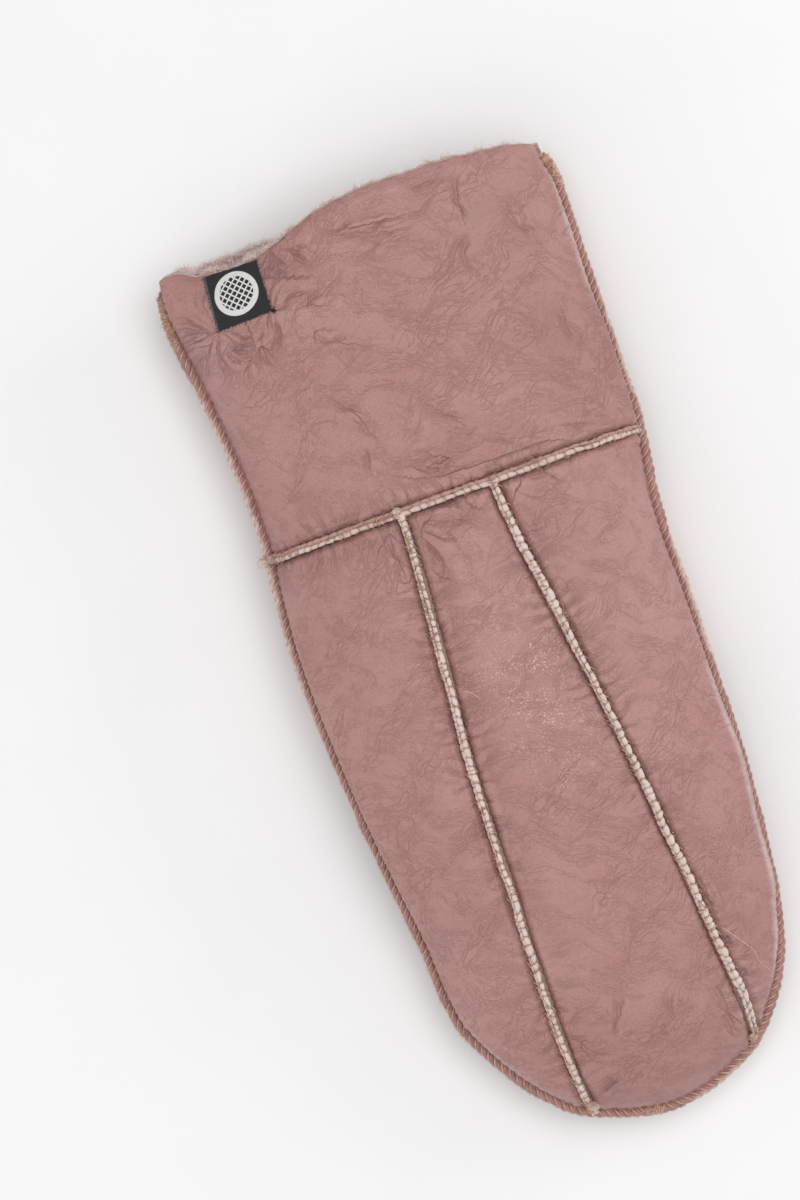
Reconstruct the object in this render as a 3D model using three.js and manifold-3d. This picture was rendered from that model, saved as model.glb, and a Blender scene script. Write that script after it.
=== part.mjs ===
// A sheepskin mitten for the right hand, lying palm down with its thumb folded under the palm.
// Millimetres: +X is the thumb side, +Y the mouth of the cuff, -Y the fingertips, +Z the back of the hand.
// Every panel is a curved sheet of nappa leather, with the wool as a thicker sheet inside it. The cut
// edges of two panels are sewn over into a raised rope, which lies in the slot between the panels.
import * as THREE from "three";
import { mergeVertices } from "three/addons/utils/BufferGeometryUtils.js";
import Module from "manifold-3d";

const wasm = await Module();
wasm.setup();

// Driving dimensions
const LEATHER = 1.6; // thickness of the leather
const PILE = 5.5; // thickness of the wool, pressed by its own weight
const BACKING_GAP = 0.9; // between the leather and the wool
const GAP = 0.3; // between the edges of the back and of the palm
const ROPE_RADIUS = 1.5; // of the sewn edges
const ROPE_SIDES = 6;
const ROPE_PROUD = 0.6; // from the leather's face out to the middle of a rope
const SLOT = 1.85; // from the middle of a rope to the panels beside it
const LIP = 3.4; // from the outline in to the pouch: the side rope and its gap
const VALLEY = { depth: 2, halfWidth: 11 }; // how far the leather dips towards a seam
const LINING_PROUD = 2; // how far the wool stands out of the mouth
const BACK_ROUNDNESS = 2.3; // exponents of the rounded sections
const PALM_ROUNDNESS = 3;
const PALM_PRESS = 1.07; // the palm meets the table before its middle, and lies flat from there
const LEAST_DROP = 2.7; // of the palm's face below the side seam, where it lies on the thumb
const CUFF_SEAM_Y = 45;
const LABEL_DENT = { depth: 2.5, x: -34, y: 132, halfWidth: 15, halfLength: 16 };

// The outline over the side rope, from the mouth down to where the round end starts.
const OUTLINE = [
  { y: 134, left: -60.6, right: 62.8 },
  { y: 120, left: -62.2, right: 63.9 },
  { y: 98, left: -59.6, right: 63.7 },
  { y: 72, left: -57.4, right: 63.1 },
  { y: 50, left: -57.2, right: 62.4 },
  { y: 36, left: -58.8, right: 60.4 },
  { y: 14, left: -60.2, right: 58.4 },
  { y: -20, left: -59.3, right: 57.4 },
  { y: -50, left: -57.0, right: 56.4 },
  { y: -80, left: -53.8, right: 54.8 },
];
const ROUND_END = { y: -80, length: 68.5 }; // half an ellipse below this line

// The mouth's edge, which waves and dips where the label is sewn on.
const MOUTH = [
  { x: -62, back: 130.5, palm: 130.5 },
  { x: -54, back: 134.3, palm: 132 },
  { x: -46.5, back: 131.8, palm: 132.5 },
  { x: -36, back: 129.6, palm: 133 },
  { x: -27, back: 129.6, palm: 133 },
  { x: -18, back: 133.4, palm: 133 },
  { x: -8, back: 136.2, palm: 133 },
  { x: 14, back: 137.8, palm: 133 },
  { x: 40, back: 137, palm: 133 },
  { x: 64, back: 133.8, palm: 132 },
];

// Heights of the back's middle line and of the side seam over the table.
const HEIGHTS = [
  { y: 134, back: 43, seam: 19 },
  { y: 90, back: 44, seam: 19.5 },
  { y: 45, back: 45.5, seam: 21.5 },
  { y: 0, back: 48.5, seam: 23 },
  { y: -45, back: 47.5, seam: 22.5 },
  { y: -65, back: 46, seam: 20.8 },
  { y: -90, back: 43.5, seam: 17.5 },
  { y: -150, back: 39, seam: 15 },
];

// Seams of the back, from the cuff to the fingertips.
const BACK_SEAMS = [
  { y: 45, outer: -15, thumbSide: 13.4 },
  { y: 24, outer: -16, thumbSide: 15.2 },
  { y: 0, outer: -18.2, thumbSide: 18.5 },
  { y: -32, outer: -21, thumbSide: 22.4 },
  { y: -65, outer: -22.3, thumbSide: 26 },
  { y: -98, outer: -23.4, thumbSide: 29 },
  { y: -122, outer: -23, thumbSide: 29.8 },
  { y: -145, outer: -20.3, thumbSide: 28.6 },
];

// Seams of the palm, from the outer side. The heel's seam turns up to the cuff beside the thumb.
const HEEL_SEAM = [
  [-70, -56],
  [-52, -47.5],
  [-34, -36],
  [-18, -19],
  [-8.5, 0],
  [-7.5, 22],
  [-5.5, 44.9],
];
const FINGER_SEAM = [
  [-70, -114],
  [-48, -105],
  [-20, -92],
  [2, -80.5],
  [24, -70.5],
  [45, -62],
  [70, -53],
];

// The thumb's sewn edge: up from the side of the hand to its tip, and back above it.
const THUMB_EDGE = [
  [52, -29],
  [41, -33],
  [30, -36.5],
  [15.5, -43.5],
  [5, -50],
  [-5.5, -56.3],
  [-13.5, -59.5],
  [-21.5, -60.6],
  [-28.5, -58.7],
  [-33, -53.5],
  [-34.7, -46],
  [-33.2, -38.5],
  [-29, -33],
  [-23, -28],
  [-19, -22.5],
  [-16.5, -16],
  [-10.5, -8.5],
  [-3.5, 0],
  [4.5, 7.5],
  [15, 19],
  [29, 31],
  [40, 36],
  [53, 39],
];
const THUMB = {
  top: 18.5, // of the folded thumb over the table
  tipSeam: 9, // height of its sewn edge round the tip
  handSeam: 16.4, // and beside the hand
  seamRise: [-8, 18], // x between which the edge rises
  shoulder: 15, // how far in from its edge it reaches its full thickness
};
const THUMB_TAPER = 1.15; // how much more the thumb's inside is drawn in than its walls are thick
const THUMB_TO_HAND = [40, 54]; // x between which the outer panel rises to the side seam
const THUMB_SIDE = { from: -24, to: 34, step: 7.25 }; // y along the side seam beside the thumb
const THUMB_MIDDLES = { outer: [9, -14], inner: [-11, -32] };
const CROTCH = { lowerX: 17, upperX: 9, y: [-44, 12], overlap: 2 }; // the thumb opens into the hand
const BEYOND_X = 75; // outside the mitten, for cutters
const PALM_OVER_THUMB = 0.9; // between the thumb and the palm on it
const PALM_DRAPE = [-34, -7]; // the palm comes down between these distances outside the thumb's edge

const LABEL = { x: -37.8, y: 121.2, width: 16.4, length: 16, thickness: 0.9, turn: -0.06, gap: 0.4 };

// Rows of the pouch, the angles of the rows round its end, and columns between the back's seams.
const ROWS = [134, 119, 103, 87, 71, 57, 45, 34, 20, 6, -8, -22, -37, -52, -66, -80];
const END_ANGLES = [17, 34, 50, 65, 78, 90];
const COLUMNS = { outer: 6, middle: 4, thumbSide: 6 };
const FROZEN_Y = -108; // the columns stop following the seams here, and close in with the outline
const THUMB_RINGS = [0, 0.42, 0.7, 0.87, 0.96, 1];
const PATH_PIECES = { cuff: 160, seam: 60, thumb: 36 };
const ROPE_PIECES = { cuff: 26, backSeam: 22, heelSeam: 28, fingerSeam: 20 };
const ROPE_CLEARANCE = { table: 0.05, thumb: 0.2 };
const ROPE_END = 0.993; // the reach where a seam's rope stops beside the side rope
const SIDE_ROPE_TOP = 131.5;
const CUTTER = { low: -20, height: 90 };

const { clamp, smoothstep, lerp, degToRad } = THREE.MathUtils;

// A smooth curve through one column of a table whose rows are in order of another column.
function along(table, column, at, key = "y") {
  const last = table.length - 1;
  const falling = table[last][key] < table[0][key];
  const next = table.findIndex((row) => (falling ? row[key] <= at : row[key] >= at));
  const k = clamp((next < 0 ? last : next) - 1, 0, last - 1);
  const slope = (i) => {
    const [before, after] = [table[Math.max(i - 1, 0)], table[Math.min(i + 1, last)]];
    return (after[column] - before[column]) / (after[key] - before[key]);
  };
  const [a, b] = [table[k], table[k + 1]];
  const step = b[key] - a[key];
  const t = clamp((at - a[key]) / step, 0, 1);
  const bend = t * (1 - t) * step * (slope(k) * (1 - t) - slope(k + 1) * t);
  return lerp(a[column], b[column], t * t * (3 - 2 * t)) + bend;
}

// The middle and half width of the outline. They stay constant below the round end's line.
function widthAt(y) {
  const row = Math.max(y, ROUND_END.y);
  const [left, right] = [along(OUTLINE, "left", row), along(OUTLINE, "right", row)];
  return { middle: (left + right) / 2, half: (right - left) / 2 };
}

function dome(reach, roundness) {
  return Math.max(0, 1 - reach ** roundness) ** (1 / roundness);
}

// 0 on the middle line and 1 at the pouch's edge, for a surface that lies inset under the leather's face.
function reachAt(x, y, inset) {
  const { middle, half } = widthAt(y);
  const down = Math.max(0, (ROUND_END.y - y) / (ROUND_END.length - LIP - inset));
  return Math.hypot((x - middle) / (half - LIP - inset), down);
}

function smoothPath(points, pieces) {
  const curve = new THREE.SplineCurve(points.map(([x, y]) => new THREE.Vector2(x, y)));
  return curve.getSpacedPoints(pieces);
}

function backSeam(column) {
  return smoothPath(BACK_SEAMS.map((row) => [row[column], row.y]), PATH_PIECES.seam);
}

function distanceTo(path, x, y) {
  let nearest = Infinity;
  for (let i = 1; i < path.length; i++) {
    const [a, b] = [path[i - 1], path[i]];
    const [dx, dy] = [b.x - a.x, b.y - a.y];
    const t = clamp(((x - a.x) * dx + (y - a.y) * dy) / (dx * dx + dy * dy), 0, 1);
    nearest = Math.min(nearest, Math.hypot(x - a.x - t * dx, y - a.y - t * dy));
  }
  return nearest;
}

function isInside(polygon, x, y) {
  let odd = false;
  polygon.forEach((a, i) => {
    const b = polygon[(i + 1) % polygon.length];
    if (a.y > y !== b.y > y && x < a.x + ((y - a.y) / (b.y - a.y)) * (b.x - a.x)) odd = !odd;
  });
  return odd;
}

const cuffSeam = smoothPath([[-BEYOND_X, CUFF_SEAM_Y], [BEYOND_X, CUFF_SEAM_Y]], PATH_PIECES.cuff);
const outerSeam = backSeam("outer");
const thumbSideSeam = backSeam("thumbSide");
const heelSeam = smoothPath(HEEL_SEAM, PATH_PIECES.seam);
const fingerSeam = smoothPath(FINGER_SEAM, PATH_PIECES.seam);
const thumbEdge = smoothPath(THUMB_EDGE, PATH_PIECES.thumb);

// The dip of the leather beside the nearest of some seams.
function valley(seams, x, y) {
  const distance = Math.min(...seams.map((seam) => distanceTo(seam, x, y)));
  if (distance >= VALLEY.halfWidth) return 0;
  return VALLEY.depth * Math.cos((Math.PI / 2) * (distance / VALLEY.halfWidth)) ** 2;
}

// The label's stitches pull the mouth in behind it.
function labelDent(x, y) {
  const across = (x - LABEL_DENT.x) / LABEL_DENT.halfWidth;
  const ahead = (y - LABEL_DENT.y) / LABEL_DENT.halfLength;
  return LABEL_DENT.depth * Math.exp(-(across ** 2) - ahead ** 2);
}

function backHeight(x, y, inset) {
  const seam = along(HEIGHTS, "seam", y) + GAP / 2;
  const dip = valley([cuffSeam, outerSeam, thumbSideSeam], x, y) + labelDent(x, y);
  const rise = along(HEIGHTS, "back", y) - seam - inset - dip;
  return seam + rise * dome(reachAt(x, y, inset), BACK_ROUNDNESS);
}

// How high the folded thumb lifts the palm off the table.
function palmLift(x, y) {
  const distance = distanceTo(thumbEdge, x, y);
  const into = isInside(thumbEdge, x, y) ? distance : -distance;
  return (THUMB.top + PALM_OVER_THUMB) * smoothstep(into, ...PALM_DRAPE);
}

function palmHeight(x, y, inset) {
  const seam = along(HEIGHTS, "seam", y) - GAP / 2;
  const raised = palmLift(x, y) + valley([cuffSeam, heelSeam, fingerSeam], x, y);
  const drop = Math.max(seam - raised, LEAST_DROP) - inset;
  return seam - drop * Math.min(1, PALM_PRESS * dome(reachAt(x, y, inset), PALM_ROUNDNESS));
}

function thumbEdgeHeight(x) {
  return lerp(THUMB.tipSeam, THUMB.handSeam, smoothstep(x, ...THUMB.seamRise));
}

function thumbInnerHeight(x, y, inset) {
  const edge = thumbEdgeHeight(x) + GAP / 2;
  const into = clamp((distanceTo(thumbEdge, x, y) - SLOT - inset) / THUMB.shoulder, 0, 1);
  return edge + (THUMB.top - inset - edge) * dome(1 - into, BACK_ROUNDNESS);
}

// The pouch's edge beside the thumb, where the thumb's outer panel meets the side rope.
const pouchSide = [];
for (let y = THUMB_SIDE.from; y <= THUMB_SIDE.to; y += THUMB_SIDE.step) {
  const { middle, half } = widthAt(y);
  pouchSide.push(new THREE.Vector2(middle + half - LIP, y));
}

function thumbOuterHeight(x, y, inset) {
  const side = along(HEIGHTS, "seam", y);
  const edge = lerp(thumbEdgeHeight(x), side, smoothstep(x, ...THUMB_TO_HAND)) - GAP / 2;
  const edgeDistance = Math.min(distanceTo(thumbEdge, x, y) - SLOT, distanceTo(pouchSide, x, y));
  const into = clamp((edgeDistance - inset) / THUMB.shoulder, 0, 1);
  return edge - (edge - inset) * Math.min(1, PALM_PRESS * dome(1 - into, BACK_ROUNDNESS));
}

// Shares of the half width: they crowd towards the pouch's steep sides, and two follow the seams.
function columnsAt(y) {
  const row = Math.max(y, FROZEN_Y);
  const { middle, half } = widthAt(row);
  const edge = (half - LIP) * dome(reachAt(middle, row, 0), 2);
  const outer = (along(BACK_SEAMS, "outer", row) - middle) / edge;
  const thumbSide = (along(BACK_SEAMS, "thumbSide", row) - middle) / edge;
  const quarter = (i, count) => (Math.PI / 2) * (i / count);
  const steps = (count) => Array.from({ length: count }, (_, i) => i);
  return [
    ...steps(COLUMNS.outer).map((i) => lerp(outer, -1, Math.cos(quarter(i, COLUMNS.outer)))),
    ...steps(COLUMNS.middle).map((i) => lerp(outer, thumbSide, i / COLUMNS.middle)),
    ...steps(COLUMNS.thumbSide).map((i) => lerp(thumbSide, 1, Math.sin(quarter(i, COLUMNS.thumbSide)))),
    1,
  ];
}

// Rows of points over the pouch at one depth; the first row follows the mouth. Only the outer
// columns move in with the depth, so that the sheets lie evenly on each other.
function pouchGrid(height, inset, mouth, proud = 0) {
  const rowAt = (y, narrowing) => {
    const { middle, half } = widthAt(y);
    return columnsAt(y).map((u) => {
      const x = middle + u * (half - LIP - inset * u ** 4) * narrowing;
      const edgeY = y === ROWS[0] ? along(MOUTH, mouth, x, "x") + proud : y;
      return new THREE.Vector3(x, edgeY, height(x, edgeY, inset));
    });
  };
  const end = END_ANGLES.map(degToRad).map((angle) => {
    const y = ROUND_END.y - (ROUND_END.length - LIP - inset) * Math.sin(angle);
    return rowAt(y, Math.cos(angle));
  });
  return [...ROWS.map((y) => rowAt(y, 1)), ...end];
}

function addQuad(triangles, a, b, c, d) {
  triangles.push([a, b, c], [a, c, d]);
}

function geometryOf(triangles) {
  const apart = (p, q) => p.distanceTo(q) > 1e-3;
  const kept = triangles.filter(([a, b, c]) => apart(a, b) && apart(b, c) && apart(c, a));
  return mergeVertices(new THREE.BufferGeometry().setFromPoints(kept.flat()), 1e-3);
}

// A sheet between two grids of the same rows, the first one on top.
function sheet(top, bottom) {
  const triangles = [];
  const [endRow, endColumn] = [top.length - 1, top[0].length - 1];
  const [topEnd, bottomEnd] = [top, bottom].map((grid) => grid.map((row) => row[endColumn]));
  for (let j = 0; j < endRow; j++) {
    for (let i = 0; i < endColumn; i++) {
      addQuad(triangles, top[j][i], top[j + 1][i], top[j + 1][i + 1], top[j][i + 1]);
      addQuad(triangles, bottom[j][i], bottom[j][i + 1], bottom[j + 1][i + 1], bottom[j + 1][i]);
    }
    addQuad(triangles, bottom[j][0], bottom[j + 1][0], top[j + 1][0], top[j][0]);
    addQuad(triangles, topEnd[j], topEnd[j + 1], bottomEnd[j + 1], bottomEnd[j]);
  }
  for (let i = 0; i < endColumn; i++) {
    addQuad(triangles, top[0][i], top[0][i + 1], bottom[0][i + 1], bottom[0][i]);
    addQuad(triangles, bottom[endRow][i], bottom[endRow][i + 1], top[endRow][i + 1], top[endRow][i]);
  }
  return geometryOf(triangles);
}

// The same between rings that start at one point and run anticlockwise.
function discSheet(top, bottom) {
  const triangles = [];
  const [endRing, count] = [top.length - 1, top[0].length];
  for (let i = 0; i < count; i++) {
    const n = (i + 1) % count;
    for (let j = 0; j < endRing; j++) {
      addQuad(triangles, top[j][i], top[j + 1][i], top[j + 1][n], top[j][n]);
      addQuad(triangles, bottom[j][i], bottom[j][n], bottom[j + 1][n], bottom[j + 1][i]);
    }
    addQuad(triangles, bottom[endRing][i], bottom[endRing][n], top[endRing][n], top[endRing][i]);
  }
  return geometryOf(triangles);
}

// A rope through points; up is a direction that it never takes.
function rope(points, up) {
  const rings = points.map((p, i) => {
    const before = points[Math.max(i - 1, 0)];
    const after = points[Math.min(i + 1, points.length - 1)];
    const direction = after.clone().sub(before).normalize();
    const across = up.clone().cross(direction).normalize();
    const out = across.clone().cross(direction);
    return Array.from({ length: ROPE_SIDES }, (_, k) => {
      const turn = ((k + 0.5) / ROPE_SIDES) * 2 * Math.PI;
      const spoke = out.clone().multiplyScalar(Math.cos(turn)).addScaledVector(across, Math.sin(turn));
      return p.clone().addScaledVector(spoke, ROPE_RADIUS);
    });
  });
  const triangles = [];
  rings.slice(1).forEach((ring, i) => {
    ring.forEach((_, k) => {
      const n = (k + 1) % ROPE_SIDES;
      addQuad(triangles, rings[i][k], rings[i][n], ring[n], ring[k]);
    });
  });
  const [first, last] = [rings[0], rings[rings.length - 1]];
  for (let k = 1; k + 1 < ROPE_SIDES; k++) {
    triangles.push([first[0], first[k + 1], first[k]], [last[0], last[k], last[k + 1]]);
  }
  return geometryOf(triangles);
}

function solidOf(geometry) {
  const mesh = new wasm.Mesh({
    numProp: 3,
    vertProperties: new Float32Array(geometry.attributes.position.array),
    triVerts: new Uint32Array(geometry.index.array),
  });
  return new wasm.Manifold(mesh);
}

function geometryFrom(solid) {
  const mesh = solid.getMesh();
  const geometry = new THREE.BufferGeometry();
  geometry.setAttribute("position", new THREE.BufferAttribute(mesh.vertProperties, 3));
  geometry.setIndex(new THREE.BufferAttribute(mesh.triVerts, 1));
  return geometry;
}

// An upright prism over a polygon, tall enough to cut through the whole mitten.
function cutter(polygon) {
  const prism = new THREE.ExtrudeGeometry(new THREE.Shape(polygon), {
    depth: CUTTER.height,
    bevelEnabled: false,
  });
  prism.translate(0, 0, CUTTER.low);
  prism.deleteAttribute("normal");
  prism.deleteAttribute("uv");
  return solidOf(mergeVertices(prism, 1e-3));
}

// Points beside a path, to its right for a positive distance.
function beside(path, distance) {
  return path.map((p, i) => {
    const [before, after] = [path[Math.max(i - 1, 0)], path[Math.min(i + 1, path.length - 1)]];
    const direction = after.clone().sub(before).normalize();
    return new THREE.Vector2(p.x + distance * direction.y, p.y - distance * direction.x);
  });
}

function slotCutter(path) {
  const few = path.filter((_, i) => i % 4 === 0 || i === path.length - 1);
  return cutter([...beside(few, SLOT), ...beside(few, -SLOT).reverse()]);
}

function cutInto(solid, cutters) {
  return cutters.reduce((rest, tool) => rest.subtract(tool), solid).decompose();
}

// Where the palm and its wool leave the thumb open into the hand.
const thumbHole = (() => {
  const tip = thumbEdge.findIndex((p) => p.y > THUMB_EDGE[10][1] && p.x < 0);
  const lower = thumbEdge.slice(0, tip).filter((p) => p.x > CROTCH.lowerX);
  const upper = thumbEdge.slice(tip).filter((p) => p.x > CROTCH.upperX);
  const beyond = [upper.at(-1), lower[0]].map((p) => new THREE.Vector2(BEYOND_X, p.y));
  return [...lower, ...upper, ...beyond].reverse();
})();

// Where the thumb's inner panel ends under the palm's edge.
function isFreeThumb(p) {
  const crotchX = lerp(CROTCH.lowerX, CROTCH.upperX, smoothstep(p.y, ...CROTCH.y));
  return p.x < crotchX - CROTCH.overlap;
}

const panelEdge = beside(thumbEdge, SLOT);
const thumbOuterOutline = [...panelEdge, ...[...pouchSide].reverse()].reverse();
const thumbInnerOutline = panelEdge.filter(isFreeThumb).reverse();

// Rings from a centre out to an outline, drawn in by the inset.
function thumbGrid(outline, centre, height, inset) {
  return THUMB_RINGS.map((share) =>
    outline.map((p) => {
      const inwards = centre.clone().sub(p).normalize();
      const edge = p.clone().addScaledVector(inwards, inset * THUMB_TAPER);
      const at = centre.clone().lerp(edge, share);
      return new THREE.Vector3(at.x, at.y, height(at.x, at.y, inset));
    }),
  );
}

function thumbPanel(outline, middle, height, faceDown) {
  const centre = new THREE.Vector2(...middle);
  const face = thumbGrid(outline, centre, height, 0);
  const back = thumbGrid(outline, centre, height, LEATHER);
  return faceDown ? discSheet(back, face) : discSheet(face, back);
}

const woolInset = LEATHER + BACKING_GAP;
const backFace = pouchGrid(backHeight, 0, "back");
const palmFace = pouchGrid(palmHeight, 0, "palm");
const backLeather = sheet(backFace, pouchGrid(backHeight, LEATHER, "back"));
const palmLeather = sheet(pouchGrid(palmHeight, LEATHER, "palm"), palmFace);
const backWool = sheet(
  pouchGrid(backHeight, woolInset, "back", LINING_PROUD),
  pouchGrid(backHeight, woolInset + PILE, "back", LINING_PROUD),
);
const palmWool = sheet(
  pouchGrid(palmHeight, woolInset + PILE, "palm", LINING_PROUD),
  pouchGrid(palmHeight, woolInset, "palm", LINING_PROUD),
);

// The height of a face above a point, taken on the two triangles of each of its cells.
function heightOn(grid, x, y) {
  for (let j = 0; j + 1 < grid.length; j++) {
    for (let i = 0; i + 1 < grid[0].length; i++) {
      const [a, b, c, d] = [grid[j][i], grid[j + 1][i], grid[j + 1][i + 1], grid[j][i + 1]];
      for (const [p, q, r] of [[a, b, c], [a, c, d]]) {
        const area = (q.x - p.x) * (r.y - p.y) - (q.y - p.y) * (r.x - p.x);
        const s = ((x - p.x) * (r.y - p.y) - (y - p.y) * (r.x - p.x)) / area;
        const t = ((q.x - p.x) * (y - p.y) - (q.y - p.y) * (x - p.x)) / area;
        if (s >= -1e-6 && t >= -1e-6 && s + t <= 1 + 1e-6) return p.z + s * (q.z - p.z) + t * (r.z - p.z);
      }
    }
  }
  return null;
}

const X = new THREE.Vector3(1, 0, 0);
const Y = new THREE.Vector3(0, 1, 0);
const Z = new THREE.Vector3(0, 0, 1);

function spaced(points, pieces) {
  return new THREE.CatmullRomCurve3(points).getSpacedPoints(pieces);
}

// Seam ropes lie on the faces. On the palm they never hang lower than the table or the thumb.
function backRope(path, up, pieces) {
  const points = path.map((p) => new THREE.Vector3(p.x, p.y, heightOn(backFace, p.x, p.y) + ROPE_PROUD));
  return rope(spaced(points, pieces), up);
}

function palmRope(path, up, pieces) {
  const points = path.map((p) => {
    const overThumb = palmLift(p.x, p.y) - PALM_OVER_THUMB + ROPE_CLEARANCE.thumb;
    const lowest = ROPE_RADIUS + Math.max(ROPE_CLEARANCE.table, overThumb);
    const highest = along(HEIGHTS, "seam", p.y) - LEAST_DROP;
    const z = clamp(heightOn(palmFace, p.x, p.y) - ROPE_PROUD, Math.min(lowest, highest), highest);
    return new THREE.Vector3(p.x, p.y, z);
  });
  return rope(spaced(points, pieces), up);
}

function isOnPouch(p) {
  return reachAt(p.x, p.y, 0) < ROPE_END;
}

function isBelowCuff(p) {
  return p.y < CUFF_SEAM_Y - SLOT - ROPE_RADIUS / 2 && isOnPouch(p);
}

function sideRopePath() {
  const first = { y: SIDE_ROPE_TOP, ...widthAt(ROWS[0]) };
  const straight = ROWS.slice(1).map((y) => ({ y, ...widthAt(y) }));
  const end = END_ANGLES.map(degToRad).map((angle) => {
    const { middle, half } = widthAt(ROUND_END.y);
    const y = ROUND_END.y - (ROUND_END.length - ROPE_RADIUS) * Math.sin(angle);
    return { y, middle, half: ROPE_RADIUS + (half - ROPE_RADIUS) * Math.cos(angle) };
  });
  const rows = [first, ...straight, ...end];
  const point = (side) => (row) =>
    new THREE.Vector3(row.middle + side * (row.half - ROPE_RADIUS), row.y, along(HEIGHTS, "seam", row.y));
  return [...rows.map(point(-1)), ...rows.slice(0, -1).reverse().map(point(1))];
}

function labelGrid(lift) {
  const steps = [-0.5, -0.17, 0.17, 0.5];
  return [...steps].reverse().map((v) =>
    steps.map((u) => {
      const local = new THREE.Vector2(u * LABEL.width, v * LABEL.length);
      const { x, y } = local.rotateAround(new THREE.Vector2(), LABEL.turn).add(LABEL);
      return new THREE.Vector3(x, y, heightOn(backFace, x, y) + LABEL.gap + lift);
    }),
  );
}

const nappa = new THREE.MeshStandardMaterial({ color: 0xae8581, roughness: 0.5, metalness: 0 });
const overcast = new THREE.MeshStandardMaterial({ color: 0xcbb0a0, roughness: 0.9, metalness: 0 });
const wool = new THREE.MeshStandardMaterial({ color: 0xc7a9a3, roughness: 1, metalness: 0 });
const cloth = new THREE.MeshStandardMaterial({ color: 0x1d1d1f, roughness: 0.85, metalness: 0 });

const mitten = new THREE.Group();

function add(name, geometry, material) {
  const mesh = new THREE.Mesh(geometry, material);
  mesh.name = name;
  mitten.add(mesh);
}

function middleOf(solid) {
  const { min, max } = solid.boundingBox();
  return { x: (min[0] + max[0]) / 2, y: (min[1] + max[1]) / 2 };
}

// The back: a cuff and three strips.
cutInto(solidOf(backLeather), [cuffSeam, outerSeam, thumbSideSeam].map(slotCutter)).forEach((piece) => {
  const { x, y } = middleOf(piece);
  const strip = x < -25 ? "back_outer_strip" : x < 20 ? "back_middle_strip" : "back_thumb_side_strip";
  add(y > CUFF_SEAM_Y ? "back_cuff" : strip, geometryFrom(piece), nappa);
});

// The palm: a cuff, the heel, the middle and the fingertips, open at the thumb.
const palmCutters = [...[cuffSeam, heelSeam, fingerSeam].map(slotCutter), cutter(thumbHole)];
cutInto(solidOf(palmLeather), palmCutters).forEach((piece) => {
  const { x, y } = middleOf(piece);
  const lower = y < -90 ? "palm_fingertips" : x < -20 ? "palm_heel" : "palm_middle";
  add(y > CUFF_SEAM_Y ? "palm_cuff" : lower, geometryFrom(piece), nappa);
});

const { outer: outerMiddle, inner: innerMiddle } = THUMB_MIDDLES;
add("thumb_outer", thumbPanel(thumbOuterOutline, outerMiddle, thumbOuterHeight, true), nappa);
add("thumb_inner", thumbPanel(thumbInnerOutline, innerMiddle, thumbInnerHeight, false), nappa);

add("back_cuff_seam", backRope(cuffSeam.filter(isOnPouch), Y, ROPE_PIECES.cuff), overcast);
add("back_outer_seam", backRope(outerSeam.filter(isBelowCuff), X, ROPE_PIECES.backSeam), overcast);
const lowerThumbSide = thumbSideSeam.filter(isBelowCuff);
add("back_thumb_side_seam", backRope(lowerThumbSide, X, ROPE_PIECES.backSeam), overcast);
add("palm_cuff_seam", palmRope(cuffSeam.filter(isOnPouch), Y, ROPE_PIECES.cuff), overcast);
const acrossHeel = new THREE.Vector3(1, -1, 0);
const lowerHeel = heelSeam.filter(isBelowCuff);
add("palm_heel_seam", palmRope(lowerHeel, acrossHeel, ROPE_PIECES.heelSeam), overcast);
add("palm_finger_seam", palmRope(fingerSeam.filter(isOnPouch), Y, ROPE_PIECES.fingerSeam), overcast);
const thumbPath = thumbEdge.map((p) => new THREE.Vector3(p.x, p.y, thumbEdgeHeight(p.x)));
add("thumb_seam", rope(thumbPath, Z), overcast);
add("side_seam", rope(sideRopePath(), Z), overcast);

add("wool_back", backWool, wool);
add("wool_palm", geometryFrom(solidOf(palmWool).subtract(cutter(thumbHole))), wool);
add("label", sheet(labelGrid(LABEL.thickness), labelGrid(0)), cloth);

// The frame's origin lies under the middle of the whole mitten, on the table.
mitten.updateMatrixWorld(true);
const box = new THREE.Box3().setFromObject(mitten);
mitten.position.set(-(box.min.x + box.max.x) / 2, -(box.min.y + box.max.y) / 2, -box.min.z);

export default mitten;
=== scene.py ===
# %% [markdown]
# # A shearling mitten for the right hand
# The mitten lies palm down on a pale table, with its thumb folded under the palm. It is cut from
# sheepskin that keeps its wool: smooth nappa outside, short wool inside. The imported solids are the
# fixed frame, in metres. Everything below is laid around them in the same place.

# %% Load the frame
import math

import bpy
import numpy as np
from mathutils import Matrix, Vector
from mathutils.geometry import delaunay_2d_cdt
from mathutils.kdtree import KDTree


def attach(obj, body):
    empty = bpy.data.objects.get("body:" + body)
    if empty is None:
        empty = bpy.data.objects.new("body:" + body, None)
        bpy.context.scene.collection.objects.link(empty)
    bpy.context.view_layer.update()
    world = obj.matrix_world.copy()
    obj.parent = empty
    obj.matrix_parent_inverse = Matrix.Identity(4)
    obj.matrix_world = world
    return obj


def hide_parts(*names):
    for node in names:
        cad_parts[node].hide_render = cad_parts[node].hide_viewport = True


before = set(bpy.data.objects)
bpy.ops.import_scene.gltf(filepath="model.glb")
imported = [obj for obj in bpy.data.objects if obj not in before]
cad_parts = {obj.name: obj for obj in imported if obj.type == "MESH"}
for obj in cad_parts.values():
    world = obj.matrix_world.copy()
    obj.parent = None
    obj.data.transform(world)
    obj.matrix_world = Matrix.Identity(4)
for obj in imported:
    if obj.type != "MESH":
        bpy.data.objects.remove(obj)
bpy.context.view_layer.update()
scene = bpy.context.scene
print("solids in the frame:", len(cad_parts))

# %% [markdown]
# ## The drawing
# The pouch is drawn in millimetres by a few short tables: its outline, its mouth, the heights of its
# middle and of its side seam, and the lines of its seams. They could be read back from the solids,
# but those are coarse. The same tables in a smooth form give a fine surface that fits them.

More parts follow.
